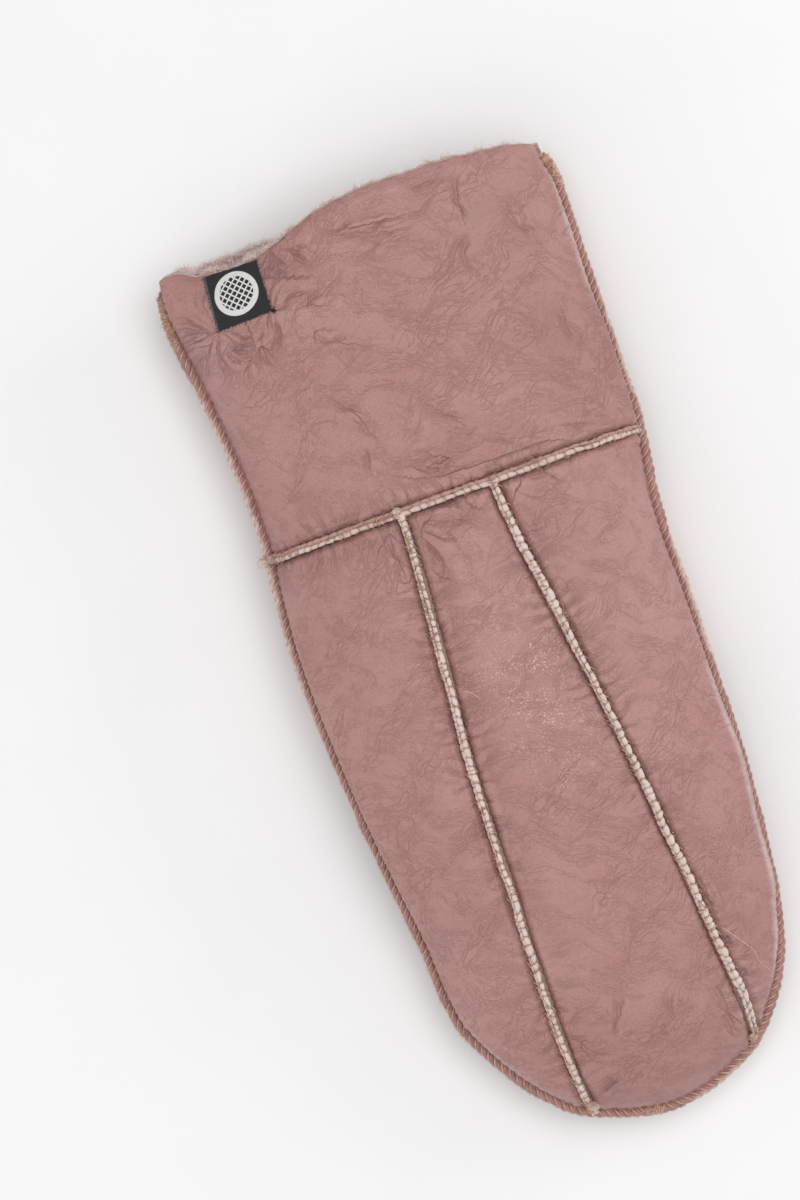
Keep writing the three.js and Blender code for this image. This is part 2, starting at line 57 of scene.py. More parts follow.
# %% Tables of the drawing
MM = 0.001
DRAWING_TO_FRAME = np.array([-0.879, 4.355, 0])  # the frame starts under the whole mitten's middle

LEATHER = 1.6  # thickness of the skin without its wool
LIP = 3.4  # from the outline in to the pouch
GAP = 0.3  # between the edges of the back and of the palm
CUFF_SEAM_Y = 45
ROUND_END_Y = -80
ROUND_END_LENGTH = 68.5
VALLEY_DEPTH = 2
VALLEY_HALF_WIDTH = 11
BACK_ROUNDNESS = 2.3
PALM_ROUNDNESS = 3
PALM_PRESS = 1.07
LEAST_DROP = 2.7
TABLE_CLEARANCE = 0.03


def table(columns, *rows):
    return dict(zip(columns.split(), np.array(rows, float).T))


OUTLINE = table(
    "y left right",
    (134, -60.6, 62.8), (120, -62.2, 63.9), (98, -59.6, 63.7), (72, -57.4, 63.1), (50, -57.2, 62.4),
    (36, -58.8, 60.4), (14, -60.2, 58.4), (-20, -59.3, 57.4), (-50, -57, 56.4), (-80, -53.8, 54.8),
)
MOUTH = table(
    "x back palm",
    (-62, 130.5, 130.5), (-54, 134, 132), (-46.5, 130.6, 132.5), (-36, 129.2, 133), (-27, 129.8, 133),
    (-18, 133.4, 133), (-8, 136.2, 133), (14, 137.8, 133), (40, 137, 133), (64, 133.8, 132),
)
HEIGHTS = table(
    "y back seam",
    (134, 43, 19), (90, 44, 19.5), (45, 45.5, 21.5), (0, 48.5, 23), (-45, 47.5, 22.5), (-65, 46, 20.8),
    (-90, 43.5, 17.5), (-150, 39, 15),
)
BACK_SEAMS = table(
    "y outer thumb_side",
    (45, -15, 13.4), (24, -16, 15.2), (0, -18.2, 18.5), (-32, -21, 22.4), (-65, -22.3, 26),
    (-98, -23.4, 29), (-122, -23, 29.8), (-145, -20.3, 28.6),
)
HEEL_SEAM = table(
    "x y", (-70, -56), (-52, -47.5), (-34, -36), (-18, -19), (-8.5, 0), (-7.5, 22), (-5.5, 44.9)
)
FINGER_SEAM = table(
    "x y", (-70, -114), (-48, -105), (-20, -92), (2, -80.5), (24, -70.5), (45, -62), (70, -53)
)
THUMB_EDGE = table(
    "x y",
    (52, -29), (41, -33), (30, -36.5), (15.5, -43.5), (5, -50), (-5.5, -56.3),
    (-13.5, -59.5), (-21.5, -60.6), (-28.5, -58.7), (-33, -53.5), (-34.7, -46), (-33.2, -38.5),
    (-29, -33), (-23, -28), (-19, -22.5), (-16.5, -16), (-10.5, -8.5), (-3.5, 0),
    (4.5, 7.5), (15, 19), (29, 31), (40, 36), (53, 39),
)
print("outline rows:", len(OUTLINE["y"]))

# %% [markdown]
# ## Reading the tables
# A smooth curve through a table's column keeps a sewn outline free of corners. Distances to the seams
# come next, because the leather dips towards every seam.


# %% Curves and distances
def unit(vectors):
    return vectors / np.linalg.norm(vectors, axis=-1, keepdims=True)


def hump(value, width):
    """1 at zero, and fading away on both sides."""
    return np.exp(-((value / width) ** 2))


def along(rows, column, at, key="y"):
    """A smooth curve through one column of a table."""
    order = np.argsort(rows[key])
    known, value = rows[key][order], rows[column][order]
    slope = np.empty_like(value)
    slope[1:-1] = (value[2:] - value[:-2]) / (known[2:] - known[:-2])
    slope[0] = (value[1] - value[0]) / (known[1] - known[0])
    slope[-1] = (value[-1] - value[-2]) / (known[-1] - known[-2])
    k = np.clip(np.searchsorted(known, at) - 1, 0, len(known) - 2)
    step = known[k + 1] - known[k]
    t = np.clip((at - known[k]) / step, 0, 1)
    bend = t * (1 - t) * step * (slope[k] * (1 - t) - slope[k + 1] * t)
    return value[k] + (value[k + 1] - value[k]) * t * t * (3 - 2 * t) + bend


def smoothstep(value, low, high):
    t = np.clip((value - low) / (high - low), 0, 1)
    return t * t * (3 - 2 * t)


def way_along(path):
    """How far along a path each of its points is."""
    return np.concatenate([[0], np.cumsum(np.linalg.norm(np.diff(path, axis=0), axis=1))])


def read_at(where, at, rows):
    """Rows known at some places of a path, read at other places."""
    return np.stack([np.interp(where, at, column) for column in rows.T], axis=-1)


def respaced(path, pieces):
    """The same path in evenly spaced points."""
    travelled = way_along(path)
    return read_at(np.linspace(0, travelled[-1], pieces + 1), travelled, path)


def right_of(path):
    """The directions to the right of a path."""
    step = unit(np.gradient(path, axis=0))
    return np.column_stack([step[:, 1], -step[:, 0]])


def beside(path, distance):
    return path + distance * right_of(path)


def smooth_path(x, y, pieces):
    """A rounded curve through points."""
    points = np.column_stack([x, y])
    held = np.vstack([points[:1], points, points[-1:]])
    t = np.linspace(0, 1, 24, endpoint=False)[:, None]
    arcs = [
        b + (c - a) * t / 2 + (2 * a - 5 * b + 4 * c - d) * t**2 / 2 + (3 * b - a - 3 * c + d) * t**3 / 2
        for a, b, c, d in zip(held, held[1:], held[2:], held[3:])
    ]
    return respaced(np.vstack([*arcs, points[-1:]]), pieces)


def length_of(path):
    return np.linalg.norm(np.diff(path, axis=0), axis=1).sum()


def signed_nearest(path, x, y):
    """How far points lie from a path, negative on its right, and how far along it the nearest point is."""
    nearest, at, travelled = np.full(np.shape(x), np.inf), np.zeros(np.shape(x)), 0.0
    for a, b in zip(path, path[1:]):
        step = b - a
        t = np.clip(((x - a[0]) * step[0] + (y - a[1]) * step[1]) / step.dot(step), 0, 1)
        here = np.hypot(x - a[0] - t * step[0], y - a[1] - t * step[1])
        wins = here < np.abs(nearest)
        at = np.where(wins, travelled + t * np.linalg.norm(step), at)
        nearest = np.where(wins, np.copysign(here, step[0] * (y - a[1]) - step[1] * (x - a[0])), nearest)
        travelled += np.linalg.norm(step)
    return nearest, at


def nearest_on(path, x, y):
    nearest, at = signed_nearest(path, x, y)
    return np.abs(nearest), at


def nearest_of(paths, x, y):
    return np.min([nearest_on(path, x, y)[0] for path in paths], axis=0)


def is_inside(polygon, x, y):
    odd = np.zeros(np.shape(x), bool)
    for (ax, ay), (bx, by) in zip(polygon, np.roll(polygon, -1, axis=0)):
        if ay != by:
            crosses = (ay > y) != (by > y)
            odd ^= crosses & (x < ax + (y - ay) / (by - ay) * (bx - ax))
    return odd


cuff_seam = smooth_path([-80, 80], [CUFF_SEAM_Y, CUFF_SEAM_Y], 40)
outer_seam = smooth_path(BACK_SEAMS["outer"], BACK_SEAMS["y"], 60)
thumb_side_seam = smooth_path(BACK_SEAMS["thumb_side"], BACK_SEAMS["y"], 60)
heel_seam = smooth_path(HEEL_SEAM["x"], HEEL_SEAM["y"], 60)
finger_seam = smooth_path(FINGER_SEAM["x"], FINGER_SEAM["y"], 60)
thumb_edge = smooth_path(THUMB_EDGE["x"], THUMB_EDGE["y"], 144)
BACK_PATHS = [cuff_seam, outer_seam, thumb_side_seam]
PALM_PATHS = [cuff_seam, heel_seam, finger_seam]
print("outer seam of the back:", round(length_of(outer_seam)), "mm")

# %% [markdown]
# ## Flattening the pouch
# A skin is cut flat. A grid drawn straight down onto the rounded pouch would have no points on its
# steep sides, so each face of the pouch is rolled out flat first, as a pattern maker does. Distances
# from the middle line grow towards the sides. The patterns are meshed flat and rolled back.

# %% Between the pouch and its flat pattern
FLANGE = 1.2  # how far the skin turns outwards into the side seam
FLANGE_RISE = 0.85  # of the skin over the side seam there
SIDE_SHARE = 0.5  # how much of an arc's length the flat pattern gives to the sides
HALF_WIDTH = 57
ROUND_LENGTH = ROUND_END_LENGTH - LIP
OUTWARDS = 1.2  # the patterns' tables reach past the pouch's edge, to this share

shares = np.sin(np.linspace(0, np.pi / 2, 400))
flat_shares = shares + SIDE_SHARE * (np.arcsin(shares) - shares)
FLAT_EDGE = flat_shares[-1]
SHARES = np.append(shares, OUTWARDS)
FLAT_SHARES = np.append(flat_shares, FLAT_EDGE + OUTWARDS - 1)
FLANGE_SHARE = 1 + FLANGE / HALF_WIDTH


def width_at(y):
    row = np.maximum(y, ROUND_END_Y)
    left, right = along(OUTLINE, "left", row), along(OUTLINE, "right", row)
    return (left + right) / 2, (right - left) / 2


def reach_at(x, y):
    """0 on the middle line and 1 at the pouch's edge."""
    middle, half = width_at(y)
    return np.hypot((x - middle) / (half - LIP), np.maximum(0, (ROUND_END_Y - y) / ROUND_LENGTH))


def flatten(x, y):
    middle, half = width_at(y)
    across, down = (x - middle) / (half - LIP), np.maximum(0, (ROUND_END_Y - y) / ROUND_LENGTH)
    reach = np.maximum(np.hypot(across, down), 1e-9)
    grow = np.interp(reach, SHARES, FLAT_SHARES) / reach
    flat_y = np.where(y >= ROUND_END_Y, y, ROUND_END_Y - down * grow * ROUND_LENGTH)
    return np.column_stack([across * grow * HALF_WIDTH, flat_y])


def roll_back(flat):
    """Points of the flat pattern to x, y and reach."""
    across, down = flat[:, 0] / HALF_WIDTH, np.maximum(0, (ROUND_END_Y - flat[:, 1]) / ROUND_LENGTH)
    share = np.maximum(np.hypot(across, down), 1e-9)
    reach = np.interp(share, FLAT_SHARES, SHARES)
    y = np.where(flat[:, 1] >= ROUND_END_Y, flat[:, 1], ROUND_END_Y - down * reach / share * ROUND_LENGTH)
    middle, half = width_at(y)
    return middle + across * reach / share * (half - LIP), y, reach


print("half of the flat pattern is", round(FLAT_EDGE * HALF_WIDTH, 1), "mm wide")

# %% [markdown]
# ## The faces of the pouch
# The back is a rounded dome that dips towards its seams and behind the label. The palm is pressed flat
# by the table, and the folded thumb lifts it. Both turn outwards at the side, where they are sewn.

# %% Heights of the back, the palm and the thumb
THUMB_TOP = 18.5
THUMB_TIP_SEAM = 9
THUMB_HAND_SEAM = 16.4
THUMB_SEAM_RISE = (-8, 18)
THUMB_SHOULDER = 15
PALM_OVER_THUMB = 0.9
PALM_DRAPE = (-34, -7)
SLOT = 1.85  # from the thumb seam's middle to the thumb's panels
LABEL_DENT = {"deep": 2.5, "x": -34, "wide": 15, "y": 132, "long": 16}


def dome(reach, roundness):
    return np.maximum(0, 1 - reach**roundness) ** (1 / roundness)


def valley(seams, x, y):
    share = np.minimum(nearest_of(seams, x, y) / VALLEY_HALF_WIDTH, 1)
    return VALLEY_DEPTH * np.cos(np.pi / 2 * share) ** 2


def spot(x, y, rows):
    """1 in a spot's middle, and fading away round it."""
    across, up = (x - rows["x"]) / rows["wide"], (y - rows["y"]) / rows["long"]
    return np.exp(-(across**2) - up**2)


def back_height(x, y, reach):
    seam = along(HEIGHTS, "seam", y) + GAP / 2
    rise = along(HEIGHTS, "back", y) - seam - valley(BACK_PATHS, x, y)
    rise = rise - LABEL_DENT["deep"] * spot(x, y, LABEL_DENT)
    return seam + np.hypot(rise * dome(reach, BACK_ROUNDNESS), FLANGE_RISE)


def palm_lift(x, y):
    distance = nearest_on(thumb_edge, x, y)[0]
    into = np.where(is_inside(thumb_edge, x, y), distance, -distance)
    return (THUMB_TOP + PALM_OVER_THUMB) * smoothstep(into, *PALM_DRAPE)


def palm_height(x, y, reach):
    seam = along(HEIGHTS, "seam", y) - GAP / 2
    drop = np.maximum(seam - palm_lift(x, y) - valley(PALM_PATHS, x, y), LEAST_DROP)
    pressed = np.minimum(1, PALM_PRESS * dome(reach, PALM_ROUNDNESS))
    return seam - np.where(pressed < 1, np.hypot(drop * pressed, FLANGE_RISE * (1 - pressed)), drop)


def thumb_edge_height(x):
    return THUMB_TIP_SEAM + (THUMB_HAND_SEAM - THUMB_TIP_SEAM) * smoothstep(x, *THUMB_SEAM_RISE)


def mouth_line(mouth, x):
    """The skin's edge at the mouth, which wasn't cut quite straight."""
    uneven = 0.42 * soft_noise(x, 0 * x, 7, 84) + 0.24 * soft_noise(x, 0 * x, 2.4, 85)
    return along(MOUTH, mouth, x, "x") + uneven * smoothstep(HALF_WIDTH - np.abs(x), 0, 6)


side_y = np.arange(-24, 35, 7.25)
pouch_side = np.column_stack([sum(width_at(side_y)) - LIP, side_y])


def thumb_inner_height(x, y):
    edge = thumb_edge_height(x) + GAP / 2
    into = np.clip((nearest_on(thumb_edge, x, y)[0] - SLOT) / THUMB_SHOULDER, 0, 1)
    return edge + (THUMB_TOP - edge) * dome(1 - into, BACK_ROUNDNESS)


def thumb_outer_height(x, y):
    blend = smoothstep(x, 40, 54)
    edge = thumb_edge_height(x) * (1 - blend) + along(HEIGHTS, "seam", y) * blend - GAP / 2
    distance = np.minimum(nearest_on(thumb_edge, x, y)[0] - SLOT, nearest_on(pouch_side, x, y)[0])
    into = np.clip(distance / THUMB_SHOULDER, 0, 1)
    return edge - edge * np.minimum(1, PALM_PRESS * dome(1 - into, BACK_ROUNDNESS))


origin = np.zeros(1)
print("height of the back's middle:", round(float(back_height(origin, origin, origin)[0]), 1))

# %% [markdown]
# ## Folds and creases
# Nappa is thin and full of memory: it keeps soft swellings over the wool, long creases where it was
# folded, and a pucker at every stitch. Sculpting would do it by hand. Here a few layers are added up
# along the surface's own direction: soft noise for the swellings, a table of creases read off the
# photograph in its pixels, and waves that follow the stitches.

# %% Soft noise and creases
PHOTO_MIDDLE = (500, 640)  # the pixel over the drawing's origin
PHOTO_SCALE = 0.295  # millimetres for a pixel
PHOTO_TURN = math.radians(20)
VIEW_CENTRE = np.array([-23.7, 21.2])  # the drawing's point in the middle of the photograph
NEARER = 1.011  # the back stands up towards the camera, so it shows a little larger


def seen_at(px, py):
    """Pixels of the photograph to the drawing."""
    dx, dy = (px - PHOTO_MIDDLE[0]) * PHOTO_SCALE, (py - PHOTO_MIDDLE[1]) * PHOTO_SCALE
    x = dx * math.cos(PHOTO_TURN) - dy * math.sin(PHOTO_TURN)
    y = -dx * math.sin(PHOTO_TURN) - dy * math.cos(PHOTO_TURN)
    x, y = VIEW_CENTRE[0] + (x - VIEW_CENTRE[0]) / NEARER, VIEW_CENTRE[1] + (y - VIEW_CENTRE[1]) / NEARER
    shift = fit_shift(x, y)
    return x - shift[..., 0], y - shift[..., 1]


def blended(corner, fu, fv):
    """A value between four corners."""
    low = corner(0, 0) * (1 - fu) + corner(1, 0) * fu
    high = corner(0, 1) * (1 - fu) + corner(1, 1) * fu
    return low * (1 - fv) + high * fv


def soft_noise(x, y, size, seed):
    """Smooth noise from about -1 to 1 whose swellings are about size apart."""
    values = np.random.default_rng(seed).uniform(-1, 1, (97, 97))
    u, v = x / size, y / size
    i, j = np.floor(u).astype(int), np.floor(v).astype(int)
    fu, fv = u - i, v - j
    fu, fv = fu * fu * (3 - 2 * fu), fv * fv * (3 - 2 * fv)
    return blended(lambda a, b: values[(i + a) % 97, (j + b) % 97], fu, fv)


CREASES = table(
    "from_x from_y over_x over_y to_x to_y depth",
    (276, 309, 309, 305, 345, 265, 0.3), (340, 268, 372, 250, 420, 232, 0.22),
    (303, 224, 345, 230, 420, 210, 0.34), (310, 231, 360, 238, 430, 218, 0.24),
    (309, 314, 326, 340, 392, 345, 0.26), (258, 329, 264, 350, 278, 376, 0.3),
    (232, 334, 224, 352, 214, 366, 0.26), (215, 338, 206, 342, 192, 348, 0.28),
    (246, 334, 250, 356, 246, 392, 0.22), (282, 264, 274, 282, 272, 300, 0.26),
    (456, 168, 457, 190, 466, 232, 0.34), (466, 232, 466, 256, 470, 280, 0.26),
    (461, 229, 458, 248, 448, 272, 0.24), (499, 193, 520, 226, 545, 246, 0.26),
    (508, 190, 528, 224, 548, 262, 0.2), (556, 304, 566, 322, 577, 345, 0.24),
    (402, 198, 424, 184, 452, 178, 0.28), (400, 222, 424, 206, 438, 188, 0.22),
    (313, 400, 348, 408, 386, 453, 0.3), (361, 446, 368, 462, 370, 480, 0.26),
    (411, 400, 440, 412, 480, 438, 0.26), (386, 456, 430, 462, 484, 452, 0.24),
    (392, 465, 440, 470, 500, 456, 0.24), (480, 440, 530, 436, 580, 416, 0.2),
    (388, 517, 393, 552, 416, 592, 0.36), (380, 520, 386, 566, 402, 606, 0.22),
    (617, 991, 620, 1014, 606, 1046, 0.28), (673, 989, 671, 1008, 681, 1024, 0.24),
    (575, 1029, 588, 1052, 626, 1058, 0.26), (635, 1055, 660, 1036, 675, 1018, 0.24),
    (624, 1078, 612, 1090, 601, 1101, 0.36), (728, 1006, 734, 1026, 746, 1042, 0.26),
    (694, 863, 706, 892, 721, 924, 0.3), (702, 868, 716, 900, 725, 922, 0.2),
    (725, 930, 729, 938, 731, 952, 0.3), (738, 968, 745, 972, 751, 982, 0.3),
    (716, 972, 724, 1004, 742, 1038, 0.24),
)
CREASE_WIDTH = 0.42
CREASE_BANKS = 2.1  # widths from a crease's middle to the swelling on either side of it
CREASE_REACH = 2.6  # how far a crease draws finer ones along with it
CREASE_DEPTH = 0.2
FULL_DEPTH = 0.3  # the table's depth for a crease of that depth


def crease_marks(x, y):
    """The creases' relief, and for the nearest one: the way along it, the distance and its strength."""
    relief, flow = np.zeros_like(x), np.tile([0.0, 9, 0], (len(x), 1))
    shaken_x, shaken_y = (
        value + 0.55 * soft_noise(x, y, 2.6, seed) + 0.3 * soft_noise(x, y, 1.3, seed + 1)
        for value, seed in ((x, 91), (y, 93))
    )
    t = np.linspace(0, 1, 15)[:, None]
    for row in zip(*CREASES.values()):
        a, over, b = (np.array(seen_at(*row[k : k + 2])) for k in (0, 2, 4))
        path = a * (1 - t) ** 2 + (4 * over - a - b) * t * (1 - t) + b * t**2
        near = np.flatnonzero(np.hypot(x - over[0], y - over[1]) < length_of(path))
        distance, at = signed_nearest(path, shaken_x[near], shaken_y[near])
        share = at / length_of(path)
        fade = np.minimum(1, 3 * share) * np.minimum(1, 3 * (1 - share)) * row[6] / FULL_DEPTH
        groove = hump(distance, CREASE_WIDTH)
        banks = hump(np.abs(distance) - CREASE_BANKS * CREASE_WIDTH, CREASE_WIDTH)
        relief[near] += CREASE_DEPTH * fade * (0.6 * banks - groove)
        around = fade * hump(distance, CREASE_REACH)
        wins = around > flow[near, 2]
        flow[near[wins]] = np.column_stack([at, distance, around])[wins]
    return relief, flow


def is_creased(x, y):
    return crease_marks(x, y)[1][:, 2] > 0.3


def swellings(x, y, seed):
    """Soft swellings over the wool, and shallow wrinkles that wander."""
    soft = 0.45 * soft_noise(x, y, 23, seed) + 0.22 * soft_noise(x, y, 9.5, seed + 1)
    bent = x * 0.94 + y * 0.34 + 3 * soft_noise(x, y, 17, seed + 2)
    across = y * 0.94 - x * 0.34 + 3 * soft_noise(x, y, 15, seed + 3)
    wrinkle = 1 - np.abs(soft_noise(bent / 2.2, across, 5.2, seed + 4)) * 4
    patchy = smoothstep(soft_noise(x, y, 19, seed + 5), -0.1, 0.6)
    return soft - 0.16 * np.maximum(0, wrinkle) * patchy


print("creases:", len(CREASES["depth"]))

# %% [markdown]
# ## Beside the seams
# Every seam joins two cut edges that stand up and are sewn over. Next to it the skin first rolls down
# to the stitches, then swells into a lip, and each stitch pulls a pucker into it.

# %% Lips and puckers
PITCH = 2.65  # from stitch to stitch
BORDER = 1.12  # from a seam's middle to the edge of the panels beside it
BORDER_SWAY = 0.3
ROLL = {"reach": 2.7, "depth": 1.3}
LIP_SWELL = {"at": 3.3, "height": 0.32, "width": 0.85}
LIP_FOLD = {"at": 5.1, "height": 0.28, "width": 0.7}
PUCKER = {"height": 0.17, "reach": 2.4}
SIDE_PUCKER = {"height": 0.13, "reach": 2.6}


def outline_path(inset, pieces):
    """The outline drawn in by an inset, from the mouth's left end round the tip to its right end."""
    straight = np.linspace(131.5, ROUND_END_Y, 60)
    angle = np.linspace(0, np.pi / 2, 40)[1:]
    middle, half = width_at(straight)
    end_middle, end_half = (float(value) for value in width_at(ROUND_END_Y))
    round_y = ROUND_END_Y - (ROUND_END_LENGTH - inset) * np.sin(angle)
    round_half = (end_half - inset) * np.cos(angle)
    y = np.concatenate([straight, round_y])
    offset = np.concatenate([half - inset, round_half])
    middle = np.concatenate([middle, np.full(len(angle), end_middle)])
    left, right = np.column_stack([middle - offset, y]), np.column_stack([middle + offset, y])
    return respaced(np.vstack([left, right[::-1][1:]]), pieces)


side_line = outline_path(LIP, 240)

FIT = table(  # how far the sewn edge bulges past the drawn outline, along it from the mouth's left end
    "at out",
    (0, 0), (205, 0.1), (220, 0.4), (229, 1.1), (236, 1.8), (244, 1.2), (256, 0.9), (268, 1.1),
    (277, 1.5), (287, 0.6), (296, 0.5), (303, 1.1), (313, 1.3), (325, 1.8), (334, 3.0), (342, 2.3),
    (355, 1.9), (367, 0.9), (379, 0.1), (388, 0), (398, 0.7), (423, 1.2), (444, 0.7), (474, 0.9),
    (487, 0.3), (498, 0), (516, 0.8), (530, 0.4), (548, 0.2), (588, 0.1), (598, 0.8), (606, 0.3),
)
FIT_STEP = 2.0
FIT_LOW = np.array([-80.0, -160.0])
FIT_REACH = (0.55, 1)  # the shift grows from nothing to all of it between these


def build_fit():
    """Shifts outwards from the outline, on a grid."""
    x, y = np.meshgrid(np.arange(FIT_LOW[0], 81, FIT_STEP), np.arange(FIT_LOW[1], 151, FIT_STEP))
    _, at = nearest_on(side_line, x, y)
    travelled = np.linspace(0, length_of(side_line), len(side_line))
    amount = np.interp(at, FIT["at"], FIT["out"]) * smoothstep(reach_at(x, y), *FIT_REACH)
    return read_at(at, travelled, right_of(side_line)) * amount[..., None]


fit_grid = build_fit()


def fit_shift(x, y):
    """How far a point of the drawing moves, so that the sewn edge keeps its small bulges."""
    u, v = (x - FIT_LOW[0]) / FIT_STEP, (y - FIT_LOW[1]) / FIT_STEP
    i = np.clip(np.floor(u).astype(int), 0, fit_grid.shape[1] - 2)
    j = np.clip(np.floor(v).astype(int), 0, fit_grid.shape[0] - 2)
    fu, fv = np.clip(u - i, 0, 1)[..., None], np.clip(v - j, 0, 1)[..., None]
    return blended(lambda a, b: fit_grid[j + b, i + a], fu, fv)


def sway_at(at):
    return BORDER_SWAY * (0.7 * soft_noise(at, 0 * at, 6, 35) + 0.5 * soft_noise(at, 0 * at, 2.2, 36))


def seam_relief(seams, x, y):
    relief = np.zeros_like(x)
    for number, seam in enumerate(seams):
        distance, at = nearest_on(seam, x, y)
        rolled = np.clip((ROLL["reach"] - distance) / (ROLL["reach"] - BORDER), 0, 1)
        uneven = 1 + 0.5 * soft_noise(at, distance * 0, 7, 31 + number)
        swell = hump(distance - LIP_SWELL["at"], LIP_SWELL["width"])
        folded = smoothstep(soft_noise(at, 0 * at, 16, 51 + number), 0, 0.7)
        fold = hump(distance - LIP_FOLD["at"], LIP_FOLD["width"]) * folded
        wave = np.sin(2 * np.pi * at / PITCH + 2 * soft_noise(at, distance, 6, 41 + number))
        relief += LIP_SWELL["height"] * swell * uneven - ROLL["depth"] * rolled**2
        relief -= LIP_FOLD["height"] * fold
        relief += PUCKER["height"] * wave * np.exp(-np.maximum(0, distance - BORDER) / PUCKER["reach"])
    distance, at = nearest_on(side_line, x, y)
    wave = np.sin(2 * np.pi * at / PITCH + 2 * soft_noise(at, distance, 6, 61))
    return relief + SIDE_PUCKER["height"] * wave * np.exp(-distance / SIDE_PUCKER["reach"])


OVERHANG = table(  # of the back over the side seam, along the outline from the mouth's left end
    "at out",
    (0, 2.6), (7, 1.8), (18, 0.2), (85, 0.5), (130, 1.6), (215, 1.4), (266, 0.7), (298, 0.4),
    (335, 0.1), (350, 0.6), (364, 1.9), (373, 1.7), (380, 2.5), (398, 3.1), (428, 2.5), (442, 2.3),
    (450, 1.7), (462, 1.1), (474, 0.9), (480, 0.8), (494, 0.9), (503, 0.4), (511, 0.7), (520, 1.3),
    (530, 1.8), (552, 2.1), (562, 1.9), (586, 1.6), (598, 0.8), (606, 0.1),
)
OVERHANG_REACH, OVERHANG_WIDTH = 0.978, 0.026
HEM_DROP, HEM_WIDTH = 0.9, 1.6  # the back's edge dips at the mouth
SHEEN = table(  # the painted highlight, a pale line where the back turns down, along the outline
    "at shown",
    (0, 0), (228, 0), (240, 0.8), (272, 0.8), (284, 0.1), (322, 0.3), (334, 0.7), (346, 1),
    (440, 1), (453, 0.1), (556, 0), (568, 0.8), (598, 0.8), (606, 0.4),
)


def overhang(x, y, reach):
    """The back bulges over the side seam, more on the right than on the left."""
    _, at = nearest_on(side_line, x, y)
    out = along(OVERHANG, "out", at, "at") * (1 + 0.25 * soft_noise(at, 0 * at, 21, 81))
    return out * hump(reach - OVERHANG_REACH, OVERHANG_WIDTH)


def back_relief(x, y, reach):
    calm = smoothstep(1 - reach, 0, 0.12)
    relief = seam_relief(BACK_PATHS, x, y) + crease_marks(x, y)[0] + swellings(x, y, 3) * calm
    relief += overhang(x, y, reach)
    hem = mouth_line("back", x) - y
    return relief - HEM_DROP * hump(hem, HEM_WIDTH) * calm


def palm_relief(x, y, reach):
    calm = smoothstep(1 - reach, 0, 0.12)
    over_table = smoothstep(palm_lift(x, y), 0.5, 4)
    pressed = 0.35 + 0.65 * over_table
    folds = np.minimum(0.1, swellings(x, y, 13)) * calm * pressed
    return seam_relief(PALM_PATHS, x, y) * pressed + folds


print("stitches on the outer seam:", round(length_of(outer_seam) / PITCH))

# %% [markdown]
# ## Cutting and meshing the panels
# A boolean cut leaves ragged triangles along its edge. Instead the flat pattern is triangulated with
# its cut lines as fixed edges, so that every panel ends in a clean line. Points lie closer together
# beside the seams, where the puckers are, and the hidden flesh side has few.


# %% Meshing a flat pattern
def lattice(spacing, low, high):
    x, y = np.meshgrid(np.arange(low[0], high[0], spacing), np.arange(low[1], high[1], spacing * 0.866))
    x[1::2] += spacing / 2
    return np.column_stack([x.ravel(), y.ravel()])


def away_from(borders, points, gap):
    """The points that lie further than gap from every border."""
    marks = np.vstack(borders)
    tree = KDTree(len(marks))
    for index, mark in enumerate(marks):
        tree.insert((*mark, 0), index)
    tree.balance()
    return points[[tree.find((*point, 0))[2] > gap for point in points.tolist()]]


def triangulated(borders, points):
    """Triangles between points, with the borders as fixed edges."""
    edges, start = [], 0
    for border in borders:
        edges += [(k, k + 1) for k in range(start, start + len(border) - 1)]
        start += len(border)
    everything = [Vector(point) for point in np.vstack([*borders, points]).tolist()]
    made = delaunay_2d_cdt(everything, edges, [], 0, 1e-4)
    return np.array([tuple(point) for point in made[0]]), np.array(made[2])


def flat_path(path, spacing):
    """A path of the drawing laid into the flat pattern."""
    fine = respaced(path, max(8, int(length_of(path) / 0.3)))
    flat = flatten(fine[:, 0], fine[:, 1])
    return respaced(flat, max(8, int(length_of(flat) / spacing)))


def pattern_borders(mouth, seams, spacing):
    """The flat pattern's own edge, and both sides of each seam."""
    edge = (FLAT_EDGE + FLANGE / HALF_WIDTH) * HALF_WIDTH
    angle = np.linspace(0, np.pi, 300)
    low_y = ROUND_END_Y - edge / HALF_WIDTH * ROUND_LENGTH * np.sin(angle)
    low = np.column_stack([-edge * np.cos(angle), low_y])
    flat_x = np.linspace(edge, -edge, 400)
    x, _, _ = roll_back(np.column_stack([flat_x, np.full(400, 133.0)]))
    top = np.column_stack([flat_x, mouth_line(mouth, x)])
    loop = np.vstack([top[-1:], low, top])
    borders = [respaced(loop, int(length_of(loop) / spacing))]
    for seam in seams:
        seam = respaced(seam, 4 * len(seam))
        at = np.linspace(0, length_of(seam), len(seam))[:, None]
        out = BORDER + sway_at(at)
        borders += [flat_path(beside(seam, sign * out), 0.8 * spacing) for sign in (-1, 1)]
    return borders


def meshed(borders, spacing, fine, is_fine):
    """A pattern's triangles, finer where is_fine says so."""
    low, high = borders[0].min(0), borders[0].max(0)
    coarse_points, fine_points = lattice(spacing, low, high), lattice(fine, low, high)
    points = np.vstack([coarse_points[~is_fine(coarse_points)], fine_points[is_fine(fine_points)]])
    return triangulated(borders, away_from(borders, points, 0.55 * fine))


def edges_of(triangles):
    """Directed edges that only one triangle has."""
    edges = np.vstack([triangles[:, [0, 1]], triangles[:, [1, 2]], triangles[:, [2, 0]]])
    key = np.sort(edges, axis=1)
    _, first, count = np.unique(key, axis=0, return_index=True, return_counts=True)
    return edges[first[count == 1]]


